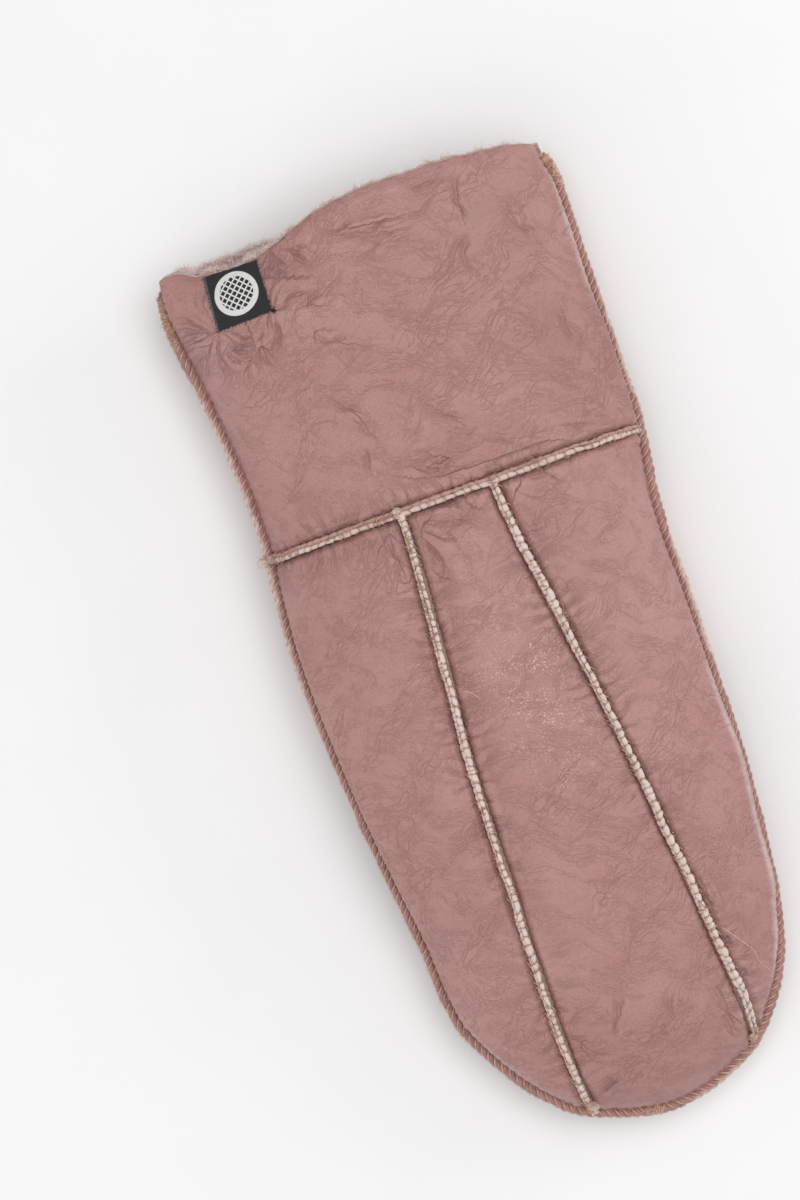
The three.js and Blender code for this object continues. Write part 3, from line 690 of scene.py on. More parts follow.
def shell(points, triangles, coarse_points, face, is_wanted, cut_lean):
    """A closed panel: the fine outer face, its cut edge, and a coarse inner face.

    face(points) gives positions and outward directions, is_wanted(points) tells which inner triangles
    stay, and cut_lean(points) how far the cut edge slants."""
    used, triangles = np.unique(triangles, return_inverse=True)
    outer_points, triangles = points[used], triangles.reshape(-1, 3)
    rim_edges = edges_of(triangles)
    rim = np.unique(rim_edges)
    place = np.full(len(outer_points), -1)
    place[rim] = np.arange(len(rim))
    inner = away_from([outer_points[rim]], coarse_points, 1.2)
    corners, inner_triangles = triangulated_rim(outer_points[rim], place[rim_edges], inner)
    middle = corners[inner_triangles].mean(axis=1)
    inner_triangles = inner_triangles[is_wanted(middle)]
    outer, _ = face(outer_points)
    inside, direction = face(corners)
    inside = inside - direction * LEATHER
    inside[: len(rim)] += cut_lean(corners[: len(rim)])
    count = len(outer)
    a, b = rim_edges.T
    inner_a, inner_b = count + place[a], count + place[b]
    walls = np.vstack([np.column_stack([b, a, inner_a]), np.column_stack([b, inner_a, inner_b])])
    faces = np.vstack([triangles, walls, count + inner_triangles[:, ::-1]])
    return np.vstack([outer, inside]), faces, count


def triangulated_rim(rim, edges, points):
    """The inner face's triangles: its rim keeps the outer face's points, in the same order."""
    everything = [Vector(point) for point in np.vstack([rim, points]).tolist()]
    made = delaunay_2d_cdt(everything, edges.tolist(), [], 0, 1e-6)
    corners = np.array([tuple(point) for point in made[0]])
    source = np.array([sources[0] if sources else -1 for sources in made[3]])
    order = np.argsort(np.where(source < 0, len(source) + np.arange(len(source)), source), kind="stable")
    rank = np.empty(len(order), int)
    rank[order] = np.arange(len(order))
    return corners[order], rank[np.array(made[2])]


# %% [markdown]
# ## Pieces and their bodies
# Each piece becomes one mesh in metres. It rides on the frame's only body, and the coarse
# solids that it stands for are hidden.


# %% Making a piece
def make_piece(name, points, faces, material, nodes=(), values=None):
    """A mesh of the drawing's points that rides on the frame and stands for its nodes."""
    mesh = bpy.data.meshes.new(name)
    points = np.column_stack([points[:, :2] + fit_shift(points[:, 0], points[:, 1]), points[:, 2]])
    mesh.from_pydata(((points + DRAWING_TO_FRAME) * MM).tolist(), [], [list(map(int, f)) for f in faces])
    mesh.polygons.foreach_set("use_smooth", np.ones(len(mesh.polygons), bool))
    for title, value in (values or {}).items():
        kind = "FLOAT_VECTOR" if value.ndim == 2 else "FLOAT"
        attribute = mesh.attributes.new(title, kind, "POINT")
        field = "vector" if value.ndim == 2 else "value"
        attribute.data.foreach_set(field, value.astype(np.float32).ravel())
    mesh.materials.append(material)
    mesh.update()
    piece = bpy.data.objects.new(name, mesh)
    scene.collection.objects.link(piece)
    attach(piece, "root")
    if nodes:
        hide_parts(*nodes)
    print(f"{name}: {sum(len(face) - 2 for face in faces)} triangles")
    return piece


def face_of(height, relief, up):
    """A function from the flat pattern to positions and outward directions on one face."""

    def base(flat):
        x, y, reach = roll_back(flat)
        return np.column_stack([x, y, height(x, y, reach)])

    def face(flat):
        x, y, reach = roll_back(flat)
        place = np.column_stack([x, y, height(x, y, reach)])
        step = 0.08
        right = base(flat + [step, 0]) - base(flat - [step, 0])
        ahead = base(flat + [0, step]) - base(flat - [0, step])
        direction = unit(up * np.cross(right, ahead))
        place += direction * relief(x, y, reach)[:, None]
        place[:, 2] = np.maximum(place[:, 2], TABLE_CLEARANCE)
        return place, direction

    return face


def bare_face(height, up):
    """The same face without its relief."""
    return face_of(height, lambda x, y, reach: 0 * x, up)


# %% [markdown]
# ## Shader groups
# Leather, cut edges and thread share a few effects: fine creases, ripples, a pore grain, patches of tone
# and short fibres. They could be nodes of every material, but a node group with its own inputs is built
# once. All work on positions in millimetres, so a grain keeps its size on every piece.


# %% Helpers for nodes
def fed(tree, made, inputs):
    """A node with its inputs linked to sockets or set to values."""
    for name, value in inputs.items():
        if isinstance(value, bpy.types.NodeSocket):
            tree.links.new(value, made.inputs[name])
        else:
            made.inputs[name].default_value = value
    return made


def add_node(tree, kind, inputs, **settings):
    made = tree.nodes.new("ShaderNode" + kind)
    for name, value in settings.items():
        setattr(made, name, value)
    return fed(tree, made, inputs)


def calc(tree, operation, a, b=0.0):
    return add_node(tree, "Math", {0: a, 1: b}, operation=operation).outputs[0]


def times(tree, a, b):
    return calc(tree, "MULTIPLY", a, b)


def plus(tree, a, b):
    return calc(tree, "ADD", a, b)


def minus(tree, a, b):
    return calc(tree, "SUBTRACT", a, b)


def highest(tree, *values):
    most = values[0]
    for value in values[1:]:
        most = calc(tree, "MAXIMUM", most, value)
    return most


def scaled(tree, vector, by):
    return add_node(tree, "VectorMath", {0: vector, "Scale": by}, operation="SCALE").outputs[0]


def ramp(tree, value, low, high, to_low=0.0, to_high=1.0):
    inputs = {"Value": value, "From Min": low, "From Max": high, "To Min": to_low, "To Max": to_high}
    return add_node(tree, "MapRange", inputs, interpolation_type="SMOOTHSTEP").outputs["Result"]


def blend_colour(tree, share, a, b):
    return add_node(tree, "Mix", {0: share, 6: a, 7: b}, data_type="RGBA").outputs[2]


def noise(tree, vector, size, detail=2.0, roughness=0.5, distortion=0.0, output="Fac"):
    inputs = {"Vector": vector, "Scale": 1 / size, "Detail": detail, "Roughness": roughness}
    return add_node(tree, "TexNoise", inputs | {"Distortion": distortion}).outputs[output]


def new_group(name, outputs, **numbers):
    """A node group with a vector and some numbers as its inputs, and numbers as its outputs."""
    group = bpy.data.node_groups.new(name, "ShaderNodeTree")
    group.interface.new_socket("Vector", in_out="INPUT", socket_type="NodeSocketVector")
    for title, value in numbers.items():
        socket = group.interface.new_socket(title, in_out="INPUT", socket_type="NodeSocketFloat")
        socket.default_value = value
    for title in outputs:
        group.interface.new_socket(title, in_out="OUTPUT", socket_type="NodeSocketFloat")
    return group, group.nodes.new("NodeGroupInput").outputs, group.nodes.new("NodeGroupOutput").inputs


def use_group(tree, group, **inputs):
    made = tree.nodes.new("ShaderNodeGroup")
    made.node_tree = group
    return fed(tree, made, inputs).outputs


# %% [markdown]
# ### Fine creases
# A crease is drawn where a noise passes through its middle value, in two sizes, and a slower noise breaks
# the lines up. Cells would make a net of cracks, and creases wander. Turning and stretching the positions
# gives the creases a direction, and a slow bend keeps them from running straight.

# %% Group: fine creases
BENDS_APART, BEND = 17.0, 13.0  # how far apart the creases' large bends are, and how strong
LINE_SIZES = ((1.0, 1.6, 1.0), (0.45, 1.4, 0.8))  # size in cells, detail and strength


def stretched_cells(group, vector, given, size):
    """Positions that are turned, drawn out along x, and counted in cells."""
    inputs = {"Vector": vector, "Angle": given["Turn"]}
    turned = add_node(group, "VectorRotate", inputs, rotation_type="Z_AXIS").outputs[0]
    apart = add_node(group, "SeparateXYZ", {0: turned}).outputs
    long_x = calc(group, "DIVIDE", apart[0], given["Stretch"])
    stretched = add_node(group, "CombineXYZ", {0: long_x, 1: apart[1], 2: apart[2]}).outputs[0]
    return scaled(group, stretched, size)


def build_crease_group():
    numbers = {"Cell": 3.0, "Stretch": 1.0, "Turn": 0.0, "Width": 0.15}
    group, given, result = new_group("fine_creases", ["Lines"], **numbers)
    size = calc(group, "DIVIDE", 1.0, given["Cell"])
    waves = noise(group, given["Vector"], BENDS_APART, 1.0, output="Color")
    centred = add_node(group, "VectorMath", {0: waves, 1: (0.5, 0.5, 0.5)}, operation="SUBTRACT").outputs[0]
    bend = scaled(group, centred, BEND)
    bent = add_node(group, "VectorMath", {0: given["Vector"], 1: bend}, operation="ADD").outputs[0]
    cells = stretched_cells(group, bent, given, size)
    share = times(group, given["Width"], size)
    lines = []
    for scale, detail, strength in LINE_SIZES:
        level = noise(group, cells, scale, detail, 0.55)
        passing = calc(group, "ABSOLUTE", minus(group, level, 0.5))
        drawn = ramp(group, passing, 0.0, times(group, share, 0.6 / scale), 1.0, 0.0)
        lines.append(times(group, drawn, strength))
    broken = ramp(group, noise(group, cells, 1.9, 1.0), 0.44, 0.58)
    group.links.new(times(group, highest(group, *lines), broken), result["Lines"])
    return group


def build_ripple_group():
    group, given, result = new_group("ripples", ["Height"], Size=0.9, Stretch=2.8, Turn=0.0)
    cells = stretched_cells(group, given["Vector"], given, calc(group, "DIVIDE", 1.0, given["Size"]))
    level = noise(group, cells, 1.0, 2.5, 0.6, 0.7)
    group.links.new(ramp(group, level, 0.3, 0.7), result["Height"])
    return group


def new_sized_group(name, size, outputs):
    """A group with a size, and its positions counted in that size."""
    group, given, result = new_group(name, outputs, Size=size)
    return group, scaled(group, given["Vector"], calc(group, "DIVIDE", 1.0, given["Size"])), result


def build_grain_group():
    group, cells, result = new_sized_group("pore_grain", 0.5, ["Height"])
    inputs = {"Vector": cells, "Scale": 1.0}
    pebbles = add_node(group, "TexVoronoi", inputs, feature="SMOOTH_F1").outputs["Distance"]
    rough = noise(group, cells, 0.6, 3.0, 0.6)
    group.links.new(minus(group, rough, times(group, pebbles, 0.8)), result["Height"])
    return group


def build_tone_group():
    group, cells, result = new_sized_group("tone_patches", 20.0, ["Mask"])
    group.links.new(ramp(group, noise(group, cells, 1.0, 4.0, 0.6), 0.3, 0.7), result["Mask"])
    return group


def build_fibre_group():
    group, cells, result = new_sized_group("short_fibres", 0.3, ["Mask", "Height"])
    fibres = noise(group, cells, 1.3, 4.0, 0.7, 1.6)
    group.links.new(ramp(group, fibres, 0.35, 0.65), result["Mask"])
    group.links.new(fibres, result["Height"])
    return group


fine_creases, pore_grain = build_crease_group(), build_grain_group()
ripples = build_ripple_group()
tone_patches, short_fibres = build_tone_group(), build_fibre_group()
print("node groups:", [group.name for group in bpy.data.node_groups])

# %% [markdown]
# ## Finishes
# Nappa is dyed through and lightly polished: a dusty rose with redder and greyer patches. Shade is
# painted darker into its creases, ripples and seams and on the cuff's right, and a highlight and glints
# are painted pale. The cut edges show the pale inside of the skin. Thread is a waxed beige.


# %% Materials
def srgb(red, green, blue):
    """A colour as seen on a screen, 0 to 255, to the numbers that light is worked out with."""
    value = np.array([red, green, blue]) / 255
    linear = np.where(value <= 0.04045, value / 12.92, ((value + 0.055) / 1.055) ** 2.4)
    return (*linear.tolist(), 1.0)


NAPPA_ROSE = srgb(182, 137, 132)
NAPPA_RED = srgb(176, 126, 121)
NAPPA_GREY = srgb(179, 141, 137)
NAPPA_DARK = srgb(96, 60, 54)
NAPPA_GLINT = srgb(236, 208, 204)
NAPPA_SHEEN = srgb(200, 176, 173)
RAW_EDGE = srgb(232, 216, 209)
RAW_DUSK = srgb(198, 171, 162)
THREAD_TAN = srgb(228, 188, 164)
THREAD_DARK = srgb(190, 146, 124)
THREAD_SOILED = srgb(132, 100, 80)
GROOVE_SHADE = srgb(152, 113, 99)
WOOL_PALE = srgb(242, 220, 214)
WOOL_DEEP = srgb(208, 172, 166)
TAPE_BLACK = srgb(30, 30, 32)
TAPE_SHEEN = srgb(66, 66, 70)
TAPE_HEM_HIGHLIGHT = srgb(150, 150, 152)
YARN_WHITE = srgb(242, 241, 237)


def new_material(name, **numbers):
    """A material with its shader, its node tree, and positions in millimetres."""
    material = bpy.data.materials.new(name)
    material.use_nodes = True
    tree = material.node_tree
    shader = tree.nodes["Principled BSDF"]
    for title, value in numbers.items():
        shader.inputs[title.replace("_", " ")].default_value = value
    where = tree.nodes.new("ShaderNodeTexCoord").outputs["Object"]
    return material, tree, shader, scaled(tree, where, 1 / MM)


def set_surface(tree, shader, colour, height):
    """Colour and bump, with the height in millimetres."""
    tree.links.new(colour, shader.inputs["Base Color"])
    made = add_node(tree, "Bump", {"Height": height, "Distance": MM, "Strength": 1.0})
    tree.links.new(made.outputs["Normal"], shader.inputs["Normal"])


def attribute(tree, name, output="Fac"):
    return add_node(tree, "Attribute", {}, attribute_name=name).outputs[output]


def nappa_colour(tree, position):
    patches = use_group(tree, tone_patches, Vector=position, Size=26.0)["Mask"]
    mottle = use_group(tree, tone_patches, Vector=position, Size=9.0)["Mask"]
    colour = blend_colour(tree, patches, NAPPA_ROSE, NAPPA_RED)
    return blend_colour(tree, times(tree, mottle, 0.3), colour, NAPPA_GREY)


def crease_line(tree, position):
    """The creases of the table, drawn thin: the points only carry the distance to them."""
    crease = add_node(tree, "SeparateXYZ", {0: attribute(tree, "crease", "Vector")}).outputs
    shake = minus(tree, noise(tree, position, 1.3, 2.0), 0.5)
    away = calc(tree, "ABSOLUTE", plus(tree, crease[1], times(tree, shake, 0.6)))
    width = ramp(tree, noise(tree, position, 3.5, 1.0), 0.35, 0.7, 0.14, 0.36)
    return times(tree, ramp(tree, away, 0.0, width, 0.85, 0.0), crease[2])


SMALL_CREASES = {"Cell": 2.1, "Stretch": 4.5, "Turn": 0.5, "Width": 0.13}
LARGE_CREASES = {"Cell": 5.0, "Stretch": 4.0, "Turn": -0.6, "Width": 0.17}
PULLED_CREASES = {"Cell": 1.6, "Stretch": 7.0, "Turn": 0.0, "Width": 0.2}
ROPE_CREASES = {"Cell": 1.2, "Stretch": 1.0, "Turn": 0.0, "Width": 0.12}
# dark is how much shade is painted into the crease lines, deep is their bump.
CREASES_SHOWN = {"small": 0.42, "large": 0.56, "pulled": 1.3, "dark": 0.62, "deep": -0.16}


def all_creases(tree, position):
    """Small and large creases everywhere, those that follow a pull, and those of the table."""
    flow, pull = attribute(tree, "flow", "Vector"), attribute(tree, "pull")
    small, large, pulled = (
        use_group(tree, fine_creases, Vector=way, **numbers)["Lines"]
        for way, numbers in ((position, SMALL_CREASES), (position, LARGE_CREASES), (flow, PULLED_CREASES))
    )
    return highest(
        tree,
        times(tree, small, CREASES_SHOWN["small"]),
        times(tree, large, CREASES_SHOWN["large"]),
        times(tree, pulled, times(tree, pull, CREASES_SHOWN["pulled"])),
        crease_line(tree, position),
    )


def rippled_height(tree, position):
    """Ripples that run one way in some places and another way in others."""
    ways = [use_group(tree, ripples, Vector=position, Turn=turn)["Height"] for turn in (0.9, -0.5)]
    which = ramp(tree, noise(tree, position, 14.0, 1.0), 0.42, 0.58)
    return add_node(tree, "Mix", {0: which, 2: ways[0], 3: ways[1]}, data_type="FLOAT").outputs[0]


def painted_glints(tree, position):
    """Painted glints: pale specks in patches where the skin is glossier."""
    specks = ramp(tree, noise(tree, position, 0.62, 2.0, 0.7), 0.54, 0.65)
    patch = ramp(tree, noise(tree, position, 8.0, 4.0, 0.65), 0.43, 0.58)
    return times(tree, times(tree, specks, patch), attribute(tree, "shine"))


def build_nappa():
    material, tree, shader, position = new_material("nappa", Roughness=0.5, Specular_IOR_Level=0.4)
    lines, rippled = all_creases(tree, position), rippled_height(tree, position)
    # hollows is painted shade in the low parts of the ripples.
    hollows = times(tree, minus(tree, 1.0, rippled), 0.1)
    speckle = ramp(tree, noise(tree, position, 0.55, 2.0, 0.7), 0.35, 0.7, 0.0, 0.17)
    colour = nappa_colour(tree, position)
    # The tone's darker patches are painted in here; on the cuff's right they are painted shade.
    for share in (hollows, speckle, attribute(tree, "tone")):
        colour = blend_colour(tree, share, colour, NAPPA_DARK)
    # A pale highlight is painted along the back's turned-down edge.
    colour = blend_colour(tree, times(tree, attribute(tree, "rim"), 0.75), colour, NAPPA_SHEEN)
    # Painted shade in the crease lines, and beside the seams.
    for share in (times(tree, lines, CREASES_SHOWN["dark"]), attribute(tree, "seam_darkening")):
        colour = blend_colour(tree, share, colour, NAPPA_DARK)
    # Pale glints are painted into the colour in the glossier patch, which is also made smoother.
    glints = painted_glints(tree, position)
    colour = blend_colour(tree, times(tree, glints, 0.6), colour, NAPPA_GLINT)
    fibres = use_group(tree, short_fibres, Vector=position, Size=0.4)
    raw = blend_colour(tree, fibres["Mask"], RAW_EDGE, RAW_DUSK)
    cut = ramp(tree, attribute(tree, "cut"), 0.12, 0.3)
    rough = plus(tree, times(tree, noise(tree, position, 3.0, 3.0), 0.2), 0.31)
    rough = minus(tree, rough, times(tree, glints, 0.2))
    tree.links.new(blend_colour(tree, cut, rough, (0.95, 0.95, 0.95, 1)), shader.inputs["Roughness"])
    grain = times(tree, use_group(tree, pore_grain, Vector=position, Size=0.6)["Height"], 0.11)
    height = plus(tree, times(tree, lines, CREASES_SHOWN["deep"]), times(tree, rippled, 0.07))
    set_surface(tree, shader, blend_colour(tree, cut, colour, raw), plus(tree, height, grain))
    return material


def build_rope_leather():
    material, tree, shader, position = new_material("sewn_leather_edge", Roughness=0.62)
    # The sewn edges are the same nappa painted a little darker, with darker fine creases: painted shade.
    colour = blend_colour(tree, 0.16, nappa_colour(tree, position), NAPPA_DARK)
    lines = use_group(tree, fine_creases, Vector=position, **ROPE_CREASES)["Lines"]
    colour = blend_colour(tree, times(tree, lines, 0.5), colour, NAPPA_DARK)
    fibres = use_group(tree, short_fibres, Vector=position, Size=0.35)
    raw = blend_colour(tree, fibres["Mask"], RAW_EDGE, RAW_DUSK)
    shown = times(tree, attribute(tree, "raw"), ramp(tree, fibres["Height"], 0.3, 0.6, 0.5, 1.0))
    colour = blend_colour(tree, shown, colour, raw)
    # Painted shade in the necks between the puffs.
    pinched = times(tree, attribute(tree, "pinched"), 0.6)
    colour = blend_colour(tree, pinched, colour, NAPPA_DARK)
    set_surface(tree, shader, colour, times(tree, fibres["Height"], 0.12))
    return material


def build_raw_edge():
    material, tree, shader, position = new_material("cut_edge", Roughness=0.92, Specular_IOR_Level=0.2)
    fibres = use_group(tree, short_fibres, Vector=position, Size=0.32)
    stained = use_group(tree, tone_patches, Vector=position, Size=5.0)["Mask"]
    colour = blend_colour(tree, times(tree, fibres["Mask"], 0.35), RAW_EDGE, RAW_DUSK)
    colour = blend_colour(tree, times(tree, stained, 0.35), colour, RAW_DUSK)
    colour = blend_colour(tree, attribute(tree, "dyed"), colour, NAPPA_ROSE)
    # Painted shade: the beads' necks, and the skin folded under them, turn darker brown.
    pinched = times(tree, attribute(tree, "pinched"), 0.72)
    colour = blend_colour(tree, pinched, colour, GROOVE_SHADE)
    set_surface(tree, shader, colour, times(tree, fibres["Height"], 0.16))
    return material


def build_thread():
    material, tree, shader, position = new_material("waxed_thread", Roughness=0.6)
    fibres = use_group(tree, short_fibres, Vector=position, Size=0.14)
    colour = blend_colour(tree, fibres["Mask"], THREAD_TAN, THREAD_DARK)
    soiled = times(tree, attribute(tree, "soiled"), noise(tree, position, 1.2))
    colour = blend_colour(tree, soiled, colour, THREAD_SOILED)
    set_surface(tree, shader, colour, times(tree, fibres["Height"], 0.06))
    return material


def build_wool():
    material, tree, shader, position = new_material("wool", Roughness=0.95, Sheen_Weight=0.3)
    fibres = use_group(tree, short_fibres, Vector=position, Size=0.8)
    locks = use_group(tree, tone_patches, Vector=position, Size=4.0)["Mask"]
    tip = attribute(tree, "tip")
    colour = blend_colour(tree, times(tree, locks, 0.6), WOOL_PALE, WOOL_DEEP)
    colour = blend_colour(tree, tip, colour, WOOL_PALE)
    lumpy = times(tree, fibres["Height"], attribute(tree, "fleece"))
    set_surface(tree, shader, colour, times(tree, lumpy, 0.5))
    return material


nappa, rope_leather = build_nappa(), build_rope_leather()
raw_edge, thread, wool = build_raw_edge(), build_thread(), build_wool()

# %% [markdown]
# ## The leather panels
# The back has a cuff and three strips, the palm a cuff, a heel, a middle and the fingertips. Each face
# of the pouch is meshed once and then dealt out to its panels. Values on the points tell the finish
# where the skin is pulled, glossy or cut, and where shade, a highlight and glints are painted on it.

# %% Values for the finish
LABEL_CORNERS = {
    "top_left": (-45.2, 129.6),
    "top_right": (-29.2, 128.8),
    "low_right": (-30, 113.3),
    "low_left": (-46.5, 113.1),
}
FANS = [  # the places that creases spread from, and how far
    (LABEL_CORNERS["low_right"], 7, 8),
    (LABEL_CORNERS["low_left"], 7, 8),
    ((-24, 131), 7, 8),
    ((-13, 43), 12, 10),
    ((16, 43), 9, 7),
]
# SHINE is the patch on the middle strip where the skin is glossier and pale glints are painted.
SHINE = {"x": 5, "y": -18, "wide": 15, "long": 32}
SHEEN_INSIDE, SHEEN_WIDTH = 0.95, 0.8  # the painted highlight's distance in from the back's visible edge, and its width
SHEEN_STEP, SHEEN_STEPS = 2, 320  # the visible edge is looked up once for each step along the outline
WELL_INSIDE = -9.0
PULL = {"strength": 0.66, "at": 2, "reach": 8}
TIGHT_CUFF = {"strength": 0.6, "y": 53, "reach": 7, "x": (-25, 5)}
FAN_STRENGTH = 0.85
CREASE_PULL = 0.7
CREASE_DRAWN = 1.1
# Painted shade where the skin dives into a seam's groove, and a darker line along the fold beside it.
SEAM_DARKENING = {"edge": 0.36, "fold": 0.28, "fold_at": 2.4, "width": 0.5}
TONES = table(  # darker patches, in the photograph's pixels; the strongest, on the cuff's right, is painted shade
    "px py wide deep",
    (430, 310, 90, 0.07), (600, 330, 75, 0.2), (490, 190, 70, 0.07), (450, 920, 80, 0.05),
    (560, 780, 70, 0.07), (590, 540, 50, 0.04), (725, 880, 60, 0.09), (620, 1080, 80, 0.05),
)


def flow_values(seams, x, y):
    """Where the skin is pulled, and coordinates that run along and across the pull."""
    pull, flow = np.zeros_like(x), np.zeros((len(x), 3))
    for seam in seams:
        distance, at = nearest_on(seam, x, y)
        patchy = smoothstep(soft_noise(at, distance, 14, 71), -0.6, 0.4)
        here = PULL["strength"] * hump(distance - PULL["at"], PULL["reach"]) * patchy
        flow[here > pull] = np.column_stack([distance, at * 1.1, 0 * at])[here > pull]
        pull = np.maximum(pull, here)
    tight = TIGHT_CUFF["strength"] * smoothstep(x, *TIGHT_CUFF["x"])
    tight = tight * hump(y - TIGHT_CUFF["y"], TIGHT_CUFF["reach"])
    flow[tight > pull] = np.column_stack([x, y, 0 * x])[tight > pull]
    return np.maximum(pull, tight), flow


def fan_values(x, y, pull, flow):
    """The label's corners and the seams' ends pull creases out of the skin like a fan."""
    for number, ((cx, cy), middle, spread) in enumerate(FANS):
        radius, angle = np.hypot(x - cx, y - cy), np.arctan2(y - cy, x - cx)
        one_side = smoothstep(x, cx, cx + 3) if cy < CUFF_SEAM_Y else 1
        here = FAN_STRENGTH * hump(radius - middle, spread) * one_side
        here = here * ((y > CUFF_SEAM_Y) == (cy > CUFF_SEAM_Y))
        wins = here > pull
        flow[wins] = np.column_stack([radius, angle * middle, np.full(len(x), 20.0 * number)])[wins]
        pull = np.maximum(pull, here)
    return pull, flow


def edge_sheen(x, y):
    """Where a highlight is painted: 1 on a line a little inside a piece's outermost points."""
    distance, at = signed_nearest(side_line, x, y)
    outermost = np.full(SHEEN_STEPS, WELL_INSIDE)
    np.maximum.at(outermost, (at / SHEEN_STEP).astype(int), -distance)
    known = np.flatnonzero(outermost > WELL_INSIDE)
    inside = np.interp(at, SHEEN_STEP * (known + 0.5), outermost[known]) + distance
    return along(SHEEN, "shown", at, "at") * hump(inside - SHEEN_INSIDE, SHEEN_WIDTH)


def tones_at(x, y):
    """How much darker the colour is painted: in patches, and as painted shade on the cuff's right."""
    total = 0 * x
    for px, py, wide, deep in zip(*TONES.values()):
        middle_x, middle_y = seen_at(px, py)
        away = (x - middle_x) ** 2 + (y - middle_y) ** 2
        total = total + deep * np.exp(-away / (wide * PHOTO_SCALE) ** 2)
    return total


def finish_values(points, count, seams, with_label):
    x, y = points[:, 0], points[:, 1]
    pull, flow = flow_values(seams, x, y)
    crease = np.tile([0.0, 9, 0], (len(x), 1))
    rim = 0 * x
    if with_label:
        pull, flow = fan_values(x, y, pull, flow)
        crease = crease_marks(x, y)[1]
        wins = CREASE_PULL * crease[:, 2] > pull
        flow[wins] = np.column_stack([crease[:, :2], 90 + 0 * x])[wins]
        pull = np.maximum(pull, CREASE_PULL * crease[:, 2])
        crease[:, 2] *= hump(crease[:, 1], CREASE_DRAWN)
        # rim carries the painted highlight along the back's visible edge.
        rim = edge_sheen(x, y)
    near = nearest_of(seams, x, y)
    uneven = 0.6 + 0.4 * soft_noise(x, y, 2.2, 75)
    folded = smoothstep(soft_noise(x, y, 6, 76), -0.2, 0.5)
    # Painted shade along the seams' grooves, and a darker line a little further out.
    seam_darkening = SEAM_DARKENING["edge"] * hump(near - BORDER, SEAM_DARKENING["width"]) * uneven
    seam_darkening = seam_darkening + SEAM_DARKENING["fold"] * hump(near - SEAM_DARKENING["fold_at"], SEAM_DARKENING["width"]) * folded
    cut = np.where(np.arange(len(x)) < count, 0.0, 1.0)
    tone = tones_at(x, y) if with_label else 0 * x
    values = {"pull": pull, "flow": flow, "crease": crease, "seam_darkening": seam_darkening, "shine": spot(x, y, SHINE)}
    return values | {"rim": rim, "cut": cut, "tone": tone}


# %% [markdown]
# ### The back
# The slanted cut of the mouth shows its pale edge from above.

# %% Back panels
COARSE, FINE, HIDDEN = 1.0, 0.52, 4.5  # between points: plain leather, beside seams, flesh side
FINE_REACH = 5


def is_in_pattern(x, y, reach, mouth):
    return (reach < FLANGE_SHARE - 1e-4) & (y < mouth_line(mouth, x) - 1e-3)


def seam_gap(seams, x, y):
    gaps = [nearest_on(seam, x, y) for seam in seams]
    return np.min([distance - sway_at(at) for distance, at in gaps], axis=0)


def seam_x(seam, y):
    upwards = seam[np.argsort(seam[:, 1])]
    return np.interp(y, upwards[:, 1], upwards[:, 0])


def back_panel(flat):
    x, y, reach = roll_back(flat)
    strip = np.where(x < seam_x(outer_seam, y), 1, np.where(x < seam_x(thumb_side_seam, y), 2, 3))
    panel = np.where(y > CUFF_SEAM_Y, 0, strip)
    gap = seam_gap([cuff_seam], x, y)
    below = seam_gap(BACK_PATHS[1:], x, y)
    gap = np.where(y > CUFF_SEAM_Y, gap, np.minimum(gap, below))
    return np.where(is_in_pattern(x, y, reach, "back") & (gap > BORDER - 0.02), panel, -1)


def palm_panel(flat):
    x, y, reach = roll_back(flat)
    tips = y < np.interp(x, finger_seam[:, 0], finger_seam[:, 1])
    heel = x < np.interp(y, heel_seam[:, 1], heel_seam[:, 0])
    panel = np.where(y > CUFF_SEAM_Y, 0, np.where(tips, 3, np.where(heel, 1, 2)))
    gap = np.where(y > CUFF_SEAM_Y, seam_gap([cuff_seam], x, y), seam_gap(PALM_PATHS, x, y))
    return np.where(is_in_pattern(x, y, reach, "palm") & (gap > BORDER - 0.02), panel, -1)


def is_beside(seams, has_creases):
    def test(flat):
        x, y, reach = roll_back(flat)
        fine = (seam_gap(seams, x, y) < FINE_REACH) | (reach > 0.94)
        return fine | is_creased(x, y) if has_creases else fine

    return test


def mouth_lean(flat):
    """The cut at the mouth slants inwards, and more beside the label's corner."""
    lean = np.where(flat[:, 0] < -44, 0.9, 0.7)
    return np.outer(np.where(flat[:, 1] > 125, lean, 0), (0, 1, 0))


def make_panels(names, panel_at, mouth, seams, face, up, coarse, fine, is_back, holes=()):
    borders = pattern_borders(mouth, seams, fine)
    borders += [flat_path(np.vstack([hole, hole[:1]]), fine) for hole in holes]
    points, triangles = meshed(borders, coarse, fine, is_beside(seams, is_back))
    panel = panel_at(points[triangles].mean(axis=1))
    hidden = lattice(HIDDEN, borders[0].min(0), borders[0].max(0))
    for number, name in enumerate(names):
        wanted = lambda flat, number=number: panel_at(flat) == number
        inner = hidden[panel_at(hidden) == number]
        made, faces, count = shell(points, triangles[panel == number], inner, face, wanted, mouth_lean)
        values = finish_values(made, count, seams, is_back)
        make_piece(name + "_leather", made, faces[:, ::up], nappa, [name], values)


back_face = face_of(back_height, back_relief, 1)
palm_face = face_of(palm_height, palm_relief, -1)
BACK_NAMES = ["back_cuff", "back_outer_strip", "back_middle_strip", "back_thumb_side_strip"]
PALM_NAMES = ["palm_cuff", "palm_heel", "palm_middle", "palm_fingertips"]
make_panels(BACK_NAMES, back_panel, "back", BACK_PATHS, back_face, 1, COARSE, FINE, True)

# %% [markdown]
# ### The palm and the thumb
# The palm is made the same way, open where the thumb goes in. The thumb lies folded under it: an outer
# panel on the table and an inner one against the palm. Their grids run along the thumb's own edge, so
# that the steep rim has enough points.

